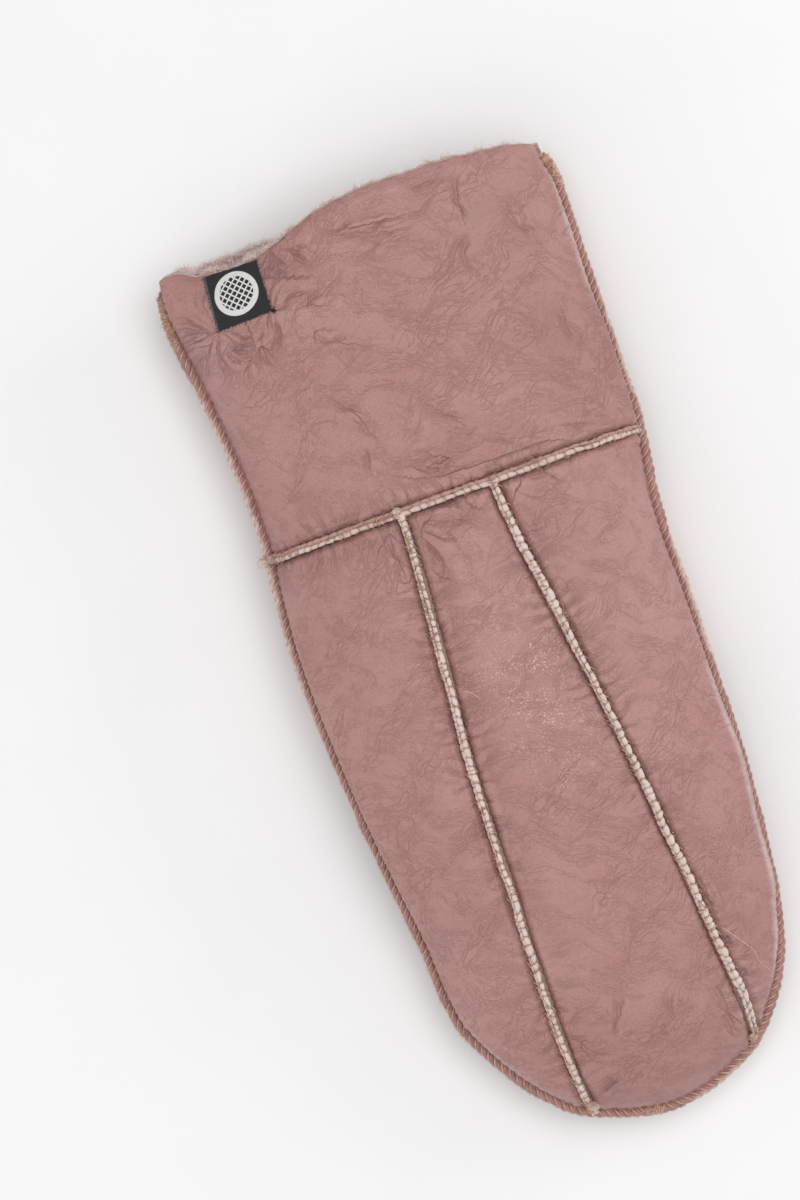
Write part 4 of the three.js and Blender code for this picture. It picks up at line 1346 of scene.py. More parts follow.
# %% Palm and thumb panels
CROTCH = {"lower_x": 17, "upper_x": 9, "y": (-44, 12), "overlap": 2}  # where the thumb opens
BEYOND_X = 75
THUMB_RINGS = [0.25, 0.6, 1.05, 1.6, 2.25, 3.0, 3.9]  # distances in from the panel's edge
PALM_COARSE, PALM_FINE = 1.25, 0.85

tip_start = int(np.argmax((thumb_edge[:, 1] > THUMB_EDGE["y"][10]) & (thumb_edge[:, 0] < 0)))
lower_edge = thumb_edge[:tip_start][thumb_edge[:tip_start, 0] > CROTCH["lower_x"]]
upper_edge = thumb_edge[tip_start:][thumb_edge[tip_start:, 0] > CROTCH["upper_x"]]
beyond = [(BEYOND_X, upper_edge[-1, 1]), (BEYOND_X, lower_edge[0, 1])]
thumb_hole = np.vstack([lower_edge, upper_edge, beyond])


def closed(loop):
    return np.vstack([loop, loop[:1]])


def palm_panel_at(flat):
    x, y, _ = roll_back(flat)
    near_hole = nearest_on(closed(thumb_hole), x, y)[0]
    return np.where(is_inside(thumb_hole, x, y) | (near_hole < 0.02), -1, palm_panel(flat))


def plan_face(height, up):
    """As face_of, for a face drawn straight down."""

    def face(points):
        x, y = points.T
        calm = smoothstep(nearest_on(thumb_edge, x, y)[0], 1, 6)
        relief = np.minimum(0.1, swellings(x, y, 23)) * calm
        step = 0.05
        slope_x = (height(x + step, y) - height(x - step, y)) / (2 * step)
        slope_y = (height(x, y + step) - height(x, y - step)) / (2 * step)
        direction = unit(up * np.column_stack([-slope_x, -slope_y, np.ones(len(x))]))
        place = np.column_stack([x, y, height(x, y)]) + direction * relief[:, None]
        return np.column_stack([place[:, :2], np.maximum(place[:, 2], TABLE_CLEARANCE)]), direction

    return face


def make_thumb_panel(name, outline, height, up):
    outline = respaced(closed(outline), int(length_of(closed(outline)) / PALM_FINE))
    inwards = unit(outline.mean(axis=0) - outline)
    rings = np.vstack([outline + inwards * distance for distance in THUMB_RINGS])
    rings = rings[is_inside(outline, *rings.T)]
    inner = lattice(PALM_COARSE, outline.min(0), outline.max(0))
    inner = inner[is_inside(outline, *inner.T) & (nearest_on(outline, *inner.T)[0] > THUMB_RINGS[-1] + 0.4)]
    points = np.vstack([away_from([outline], rings, 0.2), inner])
    corners, triangles = triangulated([outline], points)
    triangles = triangles[is_inside(outline, *corners[triangles].mean(axis=1).T)]
    hidden = lattice(HIDDEN, outline.min(0), outline.max(0))
    hidden = hidden[is_inside(outline, *hidden.T)]
    wanted = lambda middle: is_inside(outline, *middle.T)
    no_lean = lambda points: np.zeros((len(points), 3))
    face = plan_face(height, up)
    made, faces, count = shell(corners, triangles, hidden, face, wanted, no_lean)
    values = finish_values(made, count, [thumb_edge], False)
    make_piece(name + "_leather", made, faces[:, ::up], nappa, [name], values)


make_panels(
    PALM_NAMES, palm_panel_at, "palm", PALM_PATHS, palm_face, -1, PALM_COARSE, PALM_FINE, False, [thumb_hole]
)
panel_edge = beside(thumb_edge, SLOT)
crotch_share = smoothstep(panel_edge[:, 1], *CROTCH["y"])
crotch_x = CROTCH["lower_x"] + (CROTCH["upper_x"] - CROTCH["lower_x"]) * crotch_share
thumb_inner_outline = panel_edge[panel_edge[:, 0] < crotch_x - CROTCH["overlap"]]
thumb_outer_outline = np.vstack([panel_edge, pouch_side[::-1]])
make_thumb_panel("thumb_outer", thumb_outer_outline, thumb_outer_height, -1)
make_thumb_panel("thumb_inner", thumb_inner_outline, thumb_inner_height, 1)

# %% [markdown]
# ## The sewn seams
# On the back and the palm the two cut edges stand up side by side and the thread goes over both. Each
# edge is squeezed at every stitch, so it bulges into beads between the loops. An array of one bead would
# look machined. Here every edge is one long tube whose radius follows the stitches, with uneven pitch,
# height and spread, and every loop of thread is its own small tube.


# %% Tubes
def tube_faces(count, rings, sides):
    corner = np.arange(count * rings * sides).reshape(count, rings, sides)
    ahead = np.roll(corner, -1, axis=2)
    walls = np.stack([corner[:, :-1], ahead[:, :-1], ahead[:, 1:], corner[:, 1:]], axis=-1).reshape(-1, 4)
    return walls.tolist() + np.vstack([corner[:, 0, ::-1], corner[:, -1]]).tolist()


def tubes(centres, side, up, radius):
    """Closed tubes with the same number of rings and sides.

    centres, side and up have a row for each ring of each tube, radius a value for each corner."""
    count, rings, sides = radius.shape
    turn = np.arange(sides)[:, None] * 2 * np.pi / sides
    spoke = side[:, :, None] * np.cos(turn) + up[:, :, None] * np.sin(turn)
    points = centres[:, :, None] + spoke * radius[..., None]
    return points.reshape(-1, 3), tube_faces(count, rings, sides)


def frames_along(centres, up):
    """Side and up directions for tubes, square to their paths."""
    ahead = unit(np.gradient(centres, axis=-2))
    side = unit(np.cross(up, ahead))
    return side, unit(np.cross(ahead, side))


def threads(line, away, radius):
    """Tubes round lines, away being any direction off them."""
    side, up = frames_along(line, away)
    return tubes(line, side, up, radius)


def joined(parts):
    """Several (points, faces) as one."""
    points, faces, start = [], [], 0
    for some_points, some_faces in parts:
        points.append(some_points)
        faces += [[corner + start for corner in face] for face in some_faces]
        start += len(some_points)
    return np.vstack(points), faces


def make_thread(name, points, faces, soiled):
    values = {"soiled": np.full(len(points), soiled)}
    make_piece(name, points, faces, thread, [], values)


def knob(centre, size, seed):
    """A small uneven lump of thread or leather."""
    rings, sides = 13, 18
    share = np.linspace(0.04, 0.96, rings)
    centres = np.zeros((1, rings, 3))
    centres[0, :, 2] = np.cos(share * np.pi)[::-1]
    angle = np.arange(sides) / sides * 2 * np.pi
    noise_x = np.cos(angle)[None, :] * 3 + 9 + 0 * share[:, None]
    lumps = 1 + 0.07 * soft_noise(noise_x, share[:, None] * 4 + np.sin(angle) * 3, 1.9, seed)
    radius = np.sin(share * np.pi)[:, None] * lumps
    side, up = np.zeros((1, rings, 3)), np.zeros((1, rings, 3))
    side[..., 0], up[..., 1] = 1, 1
    points, faces = tubes(centres, side, up, radius[None])
    return points * size + centre, faces


# %% [markdown]
# ### Beads and thread of one seam
# The beads are wide and double where the edges part, and single and round where they close up. Tan
# stretches have more thread.

# %% Inner seams
PROUD = 0.45  # the middle of the sewn edges over the leather's face
BEAD = {"radius": 0.87, "waist": 0.6, "rings": 10, "sides": 9}
THREAD_RADIUS = 0.13
LOOP_RINGS, LOOP_SIDES = 9, 4
SAME = ((0, 1), (1, 1))
TIGHT, LOOSE = 1.9, 1.7  # the angle that a loop of thread reaches down to on either side


def palm_seam_limit(points):
    """Seams of the palm never hang lower than the table or the thumb."""
    over_thumb = palm_lift(points[:, 0], points[:, 1]) - PALM_OVER_THUMB + 0.2
    top = along(HEIGHTS, "seam", points[:, 1]) - LEAST_DROP
    low = np.minimum(1.5 + np.maximum(0.05, over_thumb), top)
    return np.column_stack([points[:, :2], np.clip(points[:, 2], low, top)])


def seam_track(path, height, up, spacing):
    """The middle of a seam's edges in space, and the directions out of the face and across."""
    path = respaced(path, max(20, int(length_of(path) / spacing)))
    x, y = path.T
    place, out = bare_face(height, up)(flatten(x, y))
    centres = place + out * PROUD
    if up < 0:
        centres = palm_seam_limit(centres)
    side, out = frames_along(centres, out)
    return centres, side, out, way_along(centres)


def bead_row(track, phase, offset, lift, size, waist, seed):
    """One cut edge, squeezed at every whole number of its phase."""
    centres, side, out, at = track
    turn = np.arange(BEAD["sides"]) * 2 * np.pi / BEAD["sides"]
    across = offset[:, None] + BEAD["radius"] * np.cos(turn)
    slant = 0.17 * soft_noise(phase, 0 * at, 2.3, seed)[:, None]
    turns = phase[:, None] + slant * across
    swell = np.abs(np.sin(np.pi * turns)) ** 0.75
    is_split = soft_noise(phase, 0 * at, 1, seed + 1) > 0.35
    split = hump(turns % 1 - 0.5, 0.09) * is_split[:, None]
    lumpy = 1 + 0.13 * soft_noise(at[:, None] + 0 * turn, turn * 1.4 + 0 * at[:, None], 0.9, seed + 2)
    uneven = 1 + 0.22 * soft_noise(phase, 0 * at, 1, seed + 3)
    radius = (BEAD["radius"] * size * uneven)[:, None] * lumpy
    radius = radius * (waist + (1 - waist) * swell - 0.1 * split)
    ends = np.minimum(1, 0.3 + 1.5 * np.minimum(at, at[-1] - at))[:, None]
    middle = centres + side * offset[:, None] + out * lift[:, None]
    pinched = 1 - smoothstep(swell, 0.2, 0.55)
    return tubes(middle[None], side[None], out[None], (radius * ends)[None]), pinched


def loop_lines(track, where, offset, wide, tall, slant, angle):
    """Middle lines of thread loops over a seam, and their directions away from its middle."""
    centres, side, out, at = track
    across = np.sin(angle) * wide[:, None] + offset[:, None]
    lift = np.cos(angle) * tall[:, None]
    ahead = np.clip(where[:, None] + slant[:, None] * across, 0, at[-1])
    middle, sideways, outwards = (read_at(ahead, at, value) for value in (centres, side, out))
    line = middle + sideways * across[..., None] + outwards * lift[..., None]
    line[..., 2] = np.maximum(line[..., 2], TABLE_CLEARANCE + THREAD_RADIUS)
    return line, unit(sideways * np.sin(angle)[:, None] + outwards * np.cos(angle)[:, None])


def groove_strip(track):
    """The skin that lies folded under the beads, as a flat strip."""
    centres, side, out, _ = (values[::4] for values in track)
    corners = [(-1.5, -1.7), (-1.5, -2.2), (1.5, -2.2), (1.5, -1.7)]
    points = np.stack([centres + side * across + out * lift for across, lift in corners], axis=1)
    points[..., 2] = np.maximum(points[..., 2], TABLE_CLEARANCE)
    return points.reshape(-1, 3), tube_faces(1, len(centres), 4)


def make_seam(node, path, height, up, double, tangles, seed, waist=BEAD["waist"], dye=(0, 0), thick=SAME):
    """double is how far the two edges part, tangles how much loose thread there is, and thick how thick the
    edges are, all at shares of the way. waist is how thin the beads' necks are, and dye how much dye each
    edge took."""
    rng = np.random.default_rng(seed)
    track = seam_track(path, height, up, PITCH / BEAD["rings"])
    at = track[3]
    scale = np.interp(at / at[-1], *zip(*thick))
    zeros = np.zeros_like(at)
    phase = at / PITCH + 0.35 * soft_noise(at, zeros, 4.3, seed)
    parted = np.clip(np.interp(at / at[-1], *zip(*double)) + 0.2 * soft_noise(at, zeros, 9, seed + 2), 0, 1)
    wander = 0.22 * soft_noise(at, zeros, 5.5, seed + 3) + 0.25 * soft_noise(at, zeros, 19, seed + 5)
    rows = [
        (
            phase, wander - (0.12 + 0.46 * parted),
            0.12 * soft_noise(at, zeros, 4, seed + 7), scale * (1.06 - 0.2 * parted),
        ),
        (
            phase + 0.35 + 0.3 * soft_noise(at, zeros, 7, seed + 8), wander + (0.86 - 0.1 * parted),
            0.12 * soft_noise(at, zeros, 4, seed + 9) - 0.34 * (1 - parted), scale * (0.52 + 0.28 * parted),
        ),
    ]
    made = [bead_row(track, *row, waist, seed + 20 * number) for number, row in enumerate(rows)]
    points, faces = joined([part for part, _ in made])
    points[:, 2] = np.maximum(points[:, 2], TABLE_CLEARANCE)
    groove, groove_faces = groove_strip(track)
    # The strip under the beads takes the full painted shade.
    hidden = np.ones(len(groove))
    corners = [pinched.ravel() for _, pinched in made]
    dyed = [dye[0] + 0 * corners[0], np.repeat(np.maximum(dye[1], 0.4 * (1 - parted)), BEAD["sides"])]
    values = {"pinched": np.concatenate([*corners, hidden]), "dyed": np.concatenate([*dyed, 0 * hidden])}
    points, faces = joined([(points, faces), (groove, groove_faces)])
    make_piece(node + "_edges", points, faces, raw_edge, [node], values)

    patchy = smoothstep(soft_noise(at, zeros, 5, seed + 11), -0.5, 0.3)
    tan = np.interp(at / at[-1], *zip(*tangles)) * patchy
    stitches = np.interp(np.arange(1, int(phase[-1]) + 1), phase, at)
    count = len(stitches)
    tight, slack = (np.linspace(-angle, angle, LOOP_RINGS) for angle in (TIGHT, LOOSE))
    over = loop_lines(
        track, stitches, np.interp(stitches, at, wander) + 0.2, rng.uniform(0.95, 1.15, count),
        rng.uniform(0.66, 0.76, count), rng.normal(0.06, 0.08, count), tight,
    )
    extra = rng.uniform(at[0], at[-1], 9 * count)
    extra = extra[rng.random(len(extra)) < 0.04 + 0.9 * np.interp(extra, at, tan)]
    count = len(extra)
    loose = loop_lines(
        track, extra, np.interp(extra, at, wander) + rng.normal(0.1, 0.4, count),
        rng.uniform(0.5, 1.2, count), rng.uniform(0.7, 1.2, count), rng.normal(0.35, 0.6, count), tight,
    )
    lips = rng.uniform(at[0], at[-1], int(at[-1] * 0.9))
    count = len(lips)
    beside_beads = loop_lines(
        track, lips, rng.choice([-1.25, 1.3], count) + rng.normal(0, 0.12, count),
        rng.uniform(0.15, 0.4, count), rng.uniform(0.0, 0.3, count), rng.normal(1.6, 0.7, count), slack,
    )
    line, away = (np.concatenate(values) for values in zip(over, loose, beside_beads))
    radius = THREAD_RADIUS * rng.uniform(0.6, 1.15, (len(line), 1, 1)) * np.ones((1, LOOP_RINGS, LOOP_SIDES))
    points, faces = threads(line, away, radius)
    make_thread(node + "_thread", points, faces, 0.7)
    print(f"{node}: {len(line)} loops")


def on_pouch(path):
    return path[reach_at(path[:, 0], path[:, 1]) < 1.04]


def below_cuff(path):
    return on_pouch(path)[on_pouch(path)[:, 1] < CUFF_SEAM_Y + 0.9]


EVEN = ((0, 0.7), (0.3, 0.9), (0.6, 0.5), (1, 0.8))
FEW = ((0, 0.1), (0.5, 0.3), (1, 0.1))
CUFF_TANGLES = (
    (0, 0.3), (0.1, 0.8), (0.16, 0.1), (0.24, 0.8), (0.36, 0.8), (0.4, 0.1), (0.6, 0), (0.68, 0.7), (0.76, 0),
)
CUFF_WAIST, CUFF_DYE = 0.76, (0.2, 0.85)
OUTER_DOUBLE = ((0, 0.6), (0.1, 0.3), (0.5, 0.1), (0.8, 0.5), (1, 0.2))
OUTER_TANGLES = ((0, 0.1), (0.4, 0), (0.5, 0.2), (0.75, 0.1), (0.85, 0.5), (1, 0.3))
OUTER_THICK = (
    (0, 0.98), (0.15, 0.88), (0.35, 0.95), (0.46, 0.74), (0.59, 1.08), (0.78, 0.9), (0.9, 0.74), (1, 0.95),
)
THUMB_SIDE_DOUBLE = ((0, 1), (0.12, 0.9), (0.24, 0.1), (0.55, 0.1), (0.75, 0.4), (1, 0.5))
THUMB_SIDE_TANGLES = (
    (0, 0.4), (0.03, 0), (0.22, 0), (0.25, 0.8), (0.28, 0),
    (0.6, 0), (0.8, 0.15), (0.93, 0), (0.96, 0.8), (1, 1),
)
THUMB_SIDE_THICK = (
    (0, 0.85), (0.05, 0.82), (0.18, 1.16), (0.3, 1.02), (0.47, 1.12),
    (0.56, 0.88), (0.66, 0.8), (0.77, 1.06), (0.88, 1.14), (1, 0.9),
)
cuff_path = on_pouch(cuff_seam)
lower_outer, lower_thumb_side = below_cuff(outer_seam)[::-1], below_cuff(thumb_side_seam)[::-1]
make_seam("back_cuff_seam", cuff_path, back_height, 1, EVEN, CUFF_TANGLES, 101, CUFF_WAIST, CUFF_DYE)
make_seam("back_outer_seam", lower_outer, back_height, 1, OUTER_DOUBLE, OUTER_TANGLES, 121, thick=OUTER_THICK)
make_seam(
    "back_thumb_side_seam", lower_thumb_side, back_height, 1, THUMB_SIDE_DOUBLE, THUMB_SIDE_TANGLES, 141,
    thick=THUMB_SIDE_THICK,
)
make_seam("palm_cuff_seam", cuff_path, palm_height, -1, EVEN, CUFF_TANGLES, 161, CUFF_WAIST, CUFF_DYE)
make_seam("palm_heel_seam", below_cuff(heel_seam), palm_height, -1, EVEN, FEW, 181)
make_seam("palm_finger_seam", on_pouch(finger_seam), palm_height, -1, EVEN, FEW, 201)

# %% [markdown]
# ### The side seam and the thumb's seam
# Here the two skins lie flat on each other and the thread winds round both edges, so the leather puffs
# out between slanting threads. The cut shows as a thin pale line on the outside.

# %% Wound ropes
ROPE = {"radius": 1.7, "waist": 0.55, "rings": 9, "sides": 14, "threads": 3}
THREAD_TURN = 7  # points of a thread for each stitch that it passes
SIDE_ROPE_TOP = 131.5
ROPE_THREAD = 0.29
THREAD_SHOWN = {"from_cut": 1.9, "spread": 0.75, "low": 0.58, "rise": 0.32}  # angles, shares of the radius
RAW_SHOWN = table(  # how much of the cut shows along the side seam, from the mouth's left end
    "at shown",
    (0, 0.3), (26, 0.3), (38, 1), (110, 1), (140, 0.5), (300, 0.5), (316, 1), (328, 0.7),
    (345, 0.2), (442, 0.2), (454, 1), (482, 1), (492, 0.2), (522, 0.3), (532, 0.9), (556, 0.7),
    (572, 0.2), (590, 0.5), (606, 1),
)


def turned_from(angle, middle):
    """How far an angle is from another, the shorter way round."""
    return np.abs((angle - middle + np.pi) % (2 * np.pi) - np.pi)


def rope_ends(at, end):
    """The share of its full radius that a rope has there, less at its two ends."""
    return np.sqrt(smoothstep(np.minimum(at, end - at), -0.6, 3.5))


def make_rope(node, centres, raw_at, seed):
    """raw_at is the angle round the rope where the cut edge shows."""
    travelled = way_along(centres)
    at = np.linspace(0, travelled[-1], int(travelled[-1] / PITCH * ROPE["rings"]))
    centres, zeros = read_at(at, travelled, centres), np.zeros_like(at)
    side, up = frames_along(centres, np.tile([0.0, 0, 1], (len(at), 1)))
    phase = at / PITCH + 0.2 * soft_noise(at, zeros, 7, seed)
    turn = np.arange(ROPE["sides"]) * 2 * np.pi / ROPE["sides"]
    swell = np.abs(np.sin(np.pi * (phase[:, None] - ROPE["threads"] * turn / (2 * np.pi)))) ** 0.9
    uneven = 1.04 + 0.14 * soft_noise(at[:, None] + 0 * turn, turn * 1.2 + 0 * at[:, None], 3.4, seed + 1)
    ends = rope_ends(at, at[-1])[:, None]
    radius = ROPE["radius"] * (ROPE["waist"] + (1 - ROPE["waist"]) * swell) * uneven * ends
    points, faces = tubes(centres[None], side[None], up[None], radius[None])
    points[:, 2] = np.maximum(points[:, 2], TABLE_CLEARANCE)
    spread = turned_from(turn, raw_at)
    shown = np.interp(at / at[-1] * RAW_SHOWN["at"][-1], RAW_SHOWN["at"], RAW_SHOWN["shown"])
    reach = (1.25 * shown * (1 + 0.3 * soft_noise(at, zeros, 2.1, seed + 2)))[:, None]
    raw = smoothstep(reach - spread, -0.25, 0.25)
    values = {"raw": np.clip(raw, 0, 1).ravel(), "pinched": (1 - smoothstep(swell, 0.2, 0.75)).ravel()}
    make_piece(node + "_edges", points, faces, rope_leather, [node], values)

    parts = []
    for start in range(ROPE["threads"]):
        passed = np.arange(0, phase[-1], 1 / THREAD_TURN)
        where = np.interp(passed, phase, at)
        angle = 2 * np.pi * (start + passed) / ROPE["threads"]
        middle, across, upwards = (read_at(where, at, value) for value in (centres, side, up))
        out = across * np.cos(angle)[:, None] + upwards * np.sin(angle)[:, None]
        sunk = 0.08 * soft_noise(where, 0 * where, 3, seed + 5 + start)
        near_panel = hump(turned_from(angle, raw_at) - THREAD_SHOWN["from_cut"], THREAD_SHOWN["spread"])
        depth = THREAD_SHOWN["low"] + THREAD_SHOWN["rise"] * near_panel
        distance = (ROPE["radius"] * depth + sunk) * np.interp(where, at, ends[:, 0])
        line = middle + out * distance[:, None]
        line[:, 2] = np.maximum(line[:, 2], TABLE_CLEARANCE + THREAD_RADIUS)
        parts.append(threads(line[None], out[None], np.full((1, len(line), 4), ROPE_THREAD)))
    points, faces = joined(parts)
    make_piece(node + "_thread", points, faces, thread)
    return centres, side, up, at


side_plan = outline_path(ROPE["radius"], 700)
side_plan = side_plan[side_plan[:, 1] <= SIDE_ROPE_TOP]
side_centres = np.column_stack([side_plan, along(HEIGHTS, "seam", side_plan[:, 1])])
side_track = make_rope("side_seam", side_centres, np.pi, 221)
thumb_plan = respaced(thumb_edge, 400)
thumb_centres = np.column_stack([thumb_plan, thumb_edge_height(thumb_plan[:, 0])])
make_rope("thumb_seam", thumb_centres, 0, 241)

# %% [markdown]
# ### Knots, wrapped stretches and loose fibres
# Where a seam starts or ends its edges are sewn into a lump, and the sewer's thread ends in a small
# knot. At three places the thread is wound closely round the side seam. Their places are read off the
# photograph in its pixels. Fine fibres stick out of them.

# %% Knots and wraps
PALE_KNOBS = table(
    "px py lift size",
    (261, 563, 0.5, 1.8), (269, 559, 0.5, 1.4), (397, 512, 0.4, 1.5), (598, 1112, 0.4, 1.9),
    (758, 1044, 0.3, 1.4),
)
TAN_KNOTS = table(
    "px py lift size",
    (760, 1048, 0.6, 1.0), (755, 1041, 0.7, 0.8), (547, 153, 0.5, 1.4), (541, 148, 0.2, 1.2),
)
WRAPS = table(
    "from_px from_py to_px to_py spacing",
    (162, 296, 173, 340, 0.5), (541, 148, 560, 178, 0.55), (650, 1112, 666, 1106, 0.32),
)
WRAP_RINGS, WRAP_SIDES = 15, 5
FUZZ = table(
    "px py spread count",
    (286, 552, 2.5, 40), (362, 518, 3.4, 90), (532, 463, 3, 60), (752, 1046, 2.2, 90),
    (449, 1006, 1.6, 50), (467, 1042, 1.4, 40), (703, 640, 1.3, 30), (660, 1110, 1.6, 60),
    (548, 158, 2.6, 60), (170, 325, 3, 60), (562, 616, 1.2, 26), (597, 1107, 1.8, 60),
    (264, 560, 1.6, 50), (398, 513, 1.2, 24),
)
FUZZ_REACH = 1.5  # fibres further from a seam's middle than this would float


def on_back(px, py, lift):
    x, y = (np.atleast_1d(float(value)) for value in seen_at(px, py))
    place, out = bare_face(back_height, 1)(flatten(x, y))
    return (place + out * lift)[0]


def knobs_at(rows, seed):
    parts = []
    for number, (px, py, lift, size) in enumerate(zip(*rows.values())):
        parts.append(knob(on_back(px, py, lift), size * np.array([1, 0.85, 0.7]), seed + number))
    return joined(parts)


def fibre_tubes(roots, directions, lengths, radii, bend, rng, rings=4, sides=3):
    """Short bent fibres that taper to their tips."""
    ahead = unit(directions)
    curl = unit(np.cross(ahead, rng.normal(0, 1, ahead.shape)))
    share = np.linspace(0, 1, rings)
    line = roots[:, None] + (ahead * lengths[:, None])[:, None] * share[:, None]
    line += (curl * (bend * lengths)[:, None])[:, None] * (share**2)[:, None]
    radius = radii[:, None] * np.interp(share, [0, 0.6, 1], [1, 0.8, 0.25])
    return threads(line, curl[:, None] + np.zeros_like(line), radius[..., None] * np.ones(sides)), share


points, faces = knobs_at(PALE_KNOBS, 501)
# pinched gives the lumps a little of the beads' darker brown.
values = {"pinched": np.full(len(points), 0.12), "dyed": np.full(len(points), 0.2)}
make_piece("seam_end_lumps", points, faces, raw_edge, [], values)
points, faces = knobs_at(TAN_KNOTS, 521)
make_thread("thread_knots", points, faces, 0.8)

rng = np.random.default_rng(5)
lines, aways = [], []
round_rope = np.linspace(-np.pi, np.pi * 0.97, WRAP_RINGS)
for from_px, from_py, to_px, to_py, spacing in zip(*WRAPS.values()):
    ends = [
        side_track[3][np.argmin(np.hypot(*(side_track[0][:, :2] - seen_at(px, py)).T))]
        for px, py in ((from_px, from_py), (to_px, to_py))
    ]
    where = np.arange(min(ends), max(ends), spacing)
    where = where + rng.normal(0, 0.12, len(where))
    size = ROPE["radius"] * rng.uniform(0.84, 1.04, len(where))
    size *= rope_ends(where, side_track[3][-1])
    tilt = rng.normal(0.3, 0.3, len(where))
    wound = loop_lines(side_track, where, 0 * where, size, size, tilt, round_rope)
    lines.append(wound[0])
    aways.append(wound[1])
line, away = np.concatenate(lines), np.concatenate(aways)
radius = rng.uniform(0.13, 0.24, (len(line), 1, 1)) * np.ones((1, WRAP_RINGS, WRAP_SIDES))
points, faces = threads(line, away, radius)
make_thread("wrapped_thread", points, faces, 0.5)

roots = []
for px, py, spread, count in zip(*FUZZ.values()):
    middle = on_back(px, py, 1.0)
    offsets = rng.normal(0, 0.45, (int(count), 3)) * [spread, spread * 0.8, 0.8]
    roots.append(middle + offsets)
roots = np.vstack(roots)
lines = [*BACK_PATHS, side_track[0][:, :2]]
roots = roots[nearest_of(lines, *roots[:, :2].T) < FUZZ_REACH]
directions = rng.normal(0, 1, roots.shape) * [1, 1, 0.4] + [0, 0, 0.25]
(points, faces), _ = fibre_tubes(
    roots, directions, rng.uniform(0.8, 2.6, len(roots)), rng.uniform(0.05, 0.1, len(roots)), 0.5, rng
)
make_piece("loose_fibres", points, faces, thread)

HAIRS = [  # pale hairs that lie on the back, in the photograph's pixels
    [(722, 928), (736, 937), (748, 946), (756, 952), (761, 962), (773, 974)],
    [(464, 691), (470, 692), (475, 695), (480, 698)],
]
HAIR_RADIUS = 0.05
parts = []
for hair in HAIRS:
    plan = smooth_path(*np.array(hair, float).T, 5 * len(hair))
    place, out = back_face(flatten(*seen_at(*plan.T)))
    line = (place + out * HAIR_RADIUS)[None]
    parts.append(threads(line, out[None], np.full((1, len(plan), 4), HAIR_RADIUS)))
points, faces = joined(parts)
make_piece("pale_hairs", points, faces, wool, [], {"tip": np.ones(len(points))})

# %% [markdown]
# ## The wool
# The wool is the skin's own. Inside the mitten a lumpy sheet is enough, for nobody sees its strands.
# Round the mouth short tapering strands stand on it in locks, and they reach a little past the rim.

# %% Wool
WOOL_FACE = 1.7  # below the leather's face
PILE = 5.4
PAST_MOUTH = {"back": 0.5, "palm": 2.4}
STRANDS = {"back": 9000, "palm": 11500}
FLEECE_STEP, LONGEST_SIDE = 2.6, 3.5  # longer triangles would span a hole
FAR_EDGE = np.array([(-75.0, -165.0), (-74.0, -165.0)])  # the triangulation needs one fixed edge


def make_fleece(node, height, mouth, up, hole):
    flat = lattice(FLEECE_STEP, (-75, -160), (75, 140))
    x, y, reach = roll_back(flat)
    end = mouth_line(mouth, x) + PAST_MOUTH[mouth] + 0.8 * soft_noise(x, y, 2.6, 305)
    is_wool = (reach < 0.965) & (y < end) & ~is_inside(hole, x, y)
    corners, triangles = triangulated([FAR_EDGE], flat[is_wool])
    sides = corners[triangles] - corners[np.roll(triangles, 1, axis=1)]
    triangles = triangles[np.linalg.norm(sides, axis=-1).max(axis=1) < LONGEST_SIDE]
    used, triangles = np.unique(triangles, return_inverse=True)
    corners, triangles = corners[used], triangles.reshape(-1, 3)
    place, out = bare_face(height, up)(corners)
    x, y = corners.T
    lumps = 0.7 * soft_noise(x, y, 4, 301) + 0.5 * soft_noise(x, y, 9, 302)
    top, low = place - out * WOOL_FACE, place - out * (WOOL_FACE + PILE + lumps)[:, None]
    a, b = edges_of(triangles).T
    count = len(corners)
    walls = np.column_stack([b, a, count + a, count + b])
    faces = np.vstack([triangles, count + triangles[:, ::-1]])[:, ::up]
    faces = faces.tolist() + walls[:, ::up].tolist()
    values = {"tip": np.zeros(2 * count), "fleece": np.ones(2 * count)}
    make_piece(node + "_fleece", np.vstack([top, low]), faces, wool, [node], values)


no_hole = np.array([(90, 0), (91, 0), (91, 1)])
make_fleece("wool_back", back_height, "back", 1, no_hole)
make_fleece("wool_palm", palm_height, "palm", -1, thumb_hole)


def strand_roots(height, mouth, up, rng):
    """Roots in tufts, closest at the rim and behind the label."""
    count = STRANDS[mouth]
    behind_label = rng.random(count) < 0.4
    flat_x = np.where(behind_label, rng.uniform(-60, -18, count), rng.uniform(-70, 70, count))
    depth = np.where(behind_label, 9 * rng.random(count), 34 * rng.random(count) ** 2.4)
    x, _, _ = roll_back(np.column_stack([flat_x, np.full(count, 130.0)]))
    rim = mouth_line(mouth, x) + PAST_MOUTH[mouth] * 0.9
    flat = np.column_stack([flat_x, rim - depth])
    x, y, reach = roll_back(flat)
    tuft = smoothstep(soft_noise(x, y, 5.5, 321), -0.5, 0.35)
    keep = (reach < 0.985) & (rng.random(count) < np.maximum(tuft, np.where(x < -18, 1, 0.12)))
    place, out = bare_face(height, up)(flat[keep])
    return place, out, depth[keep]


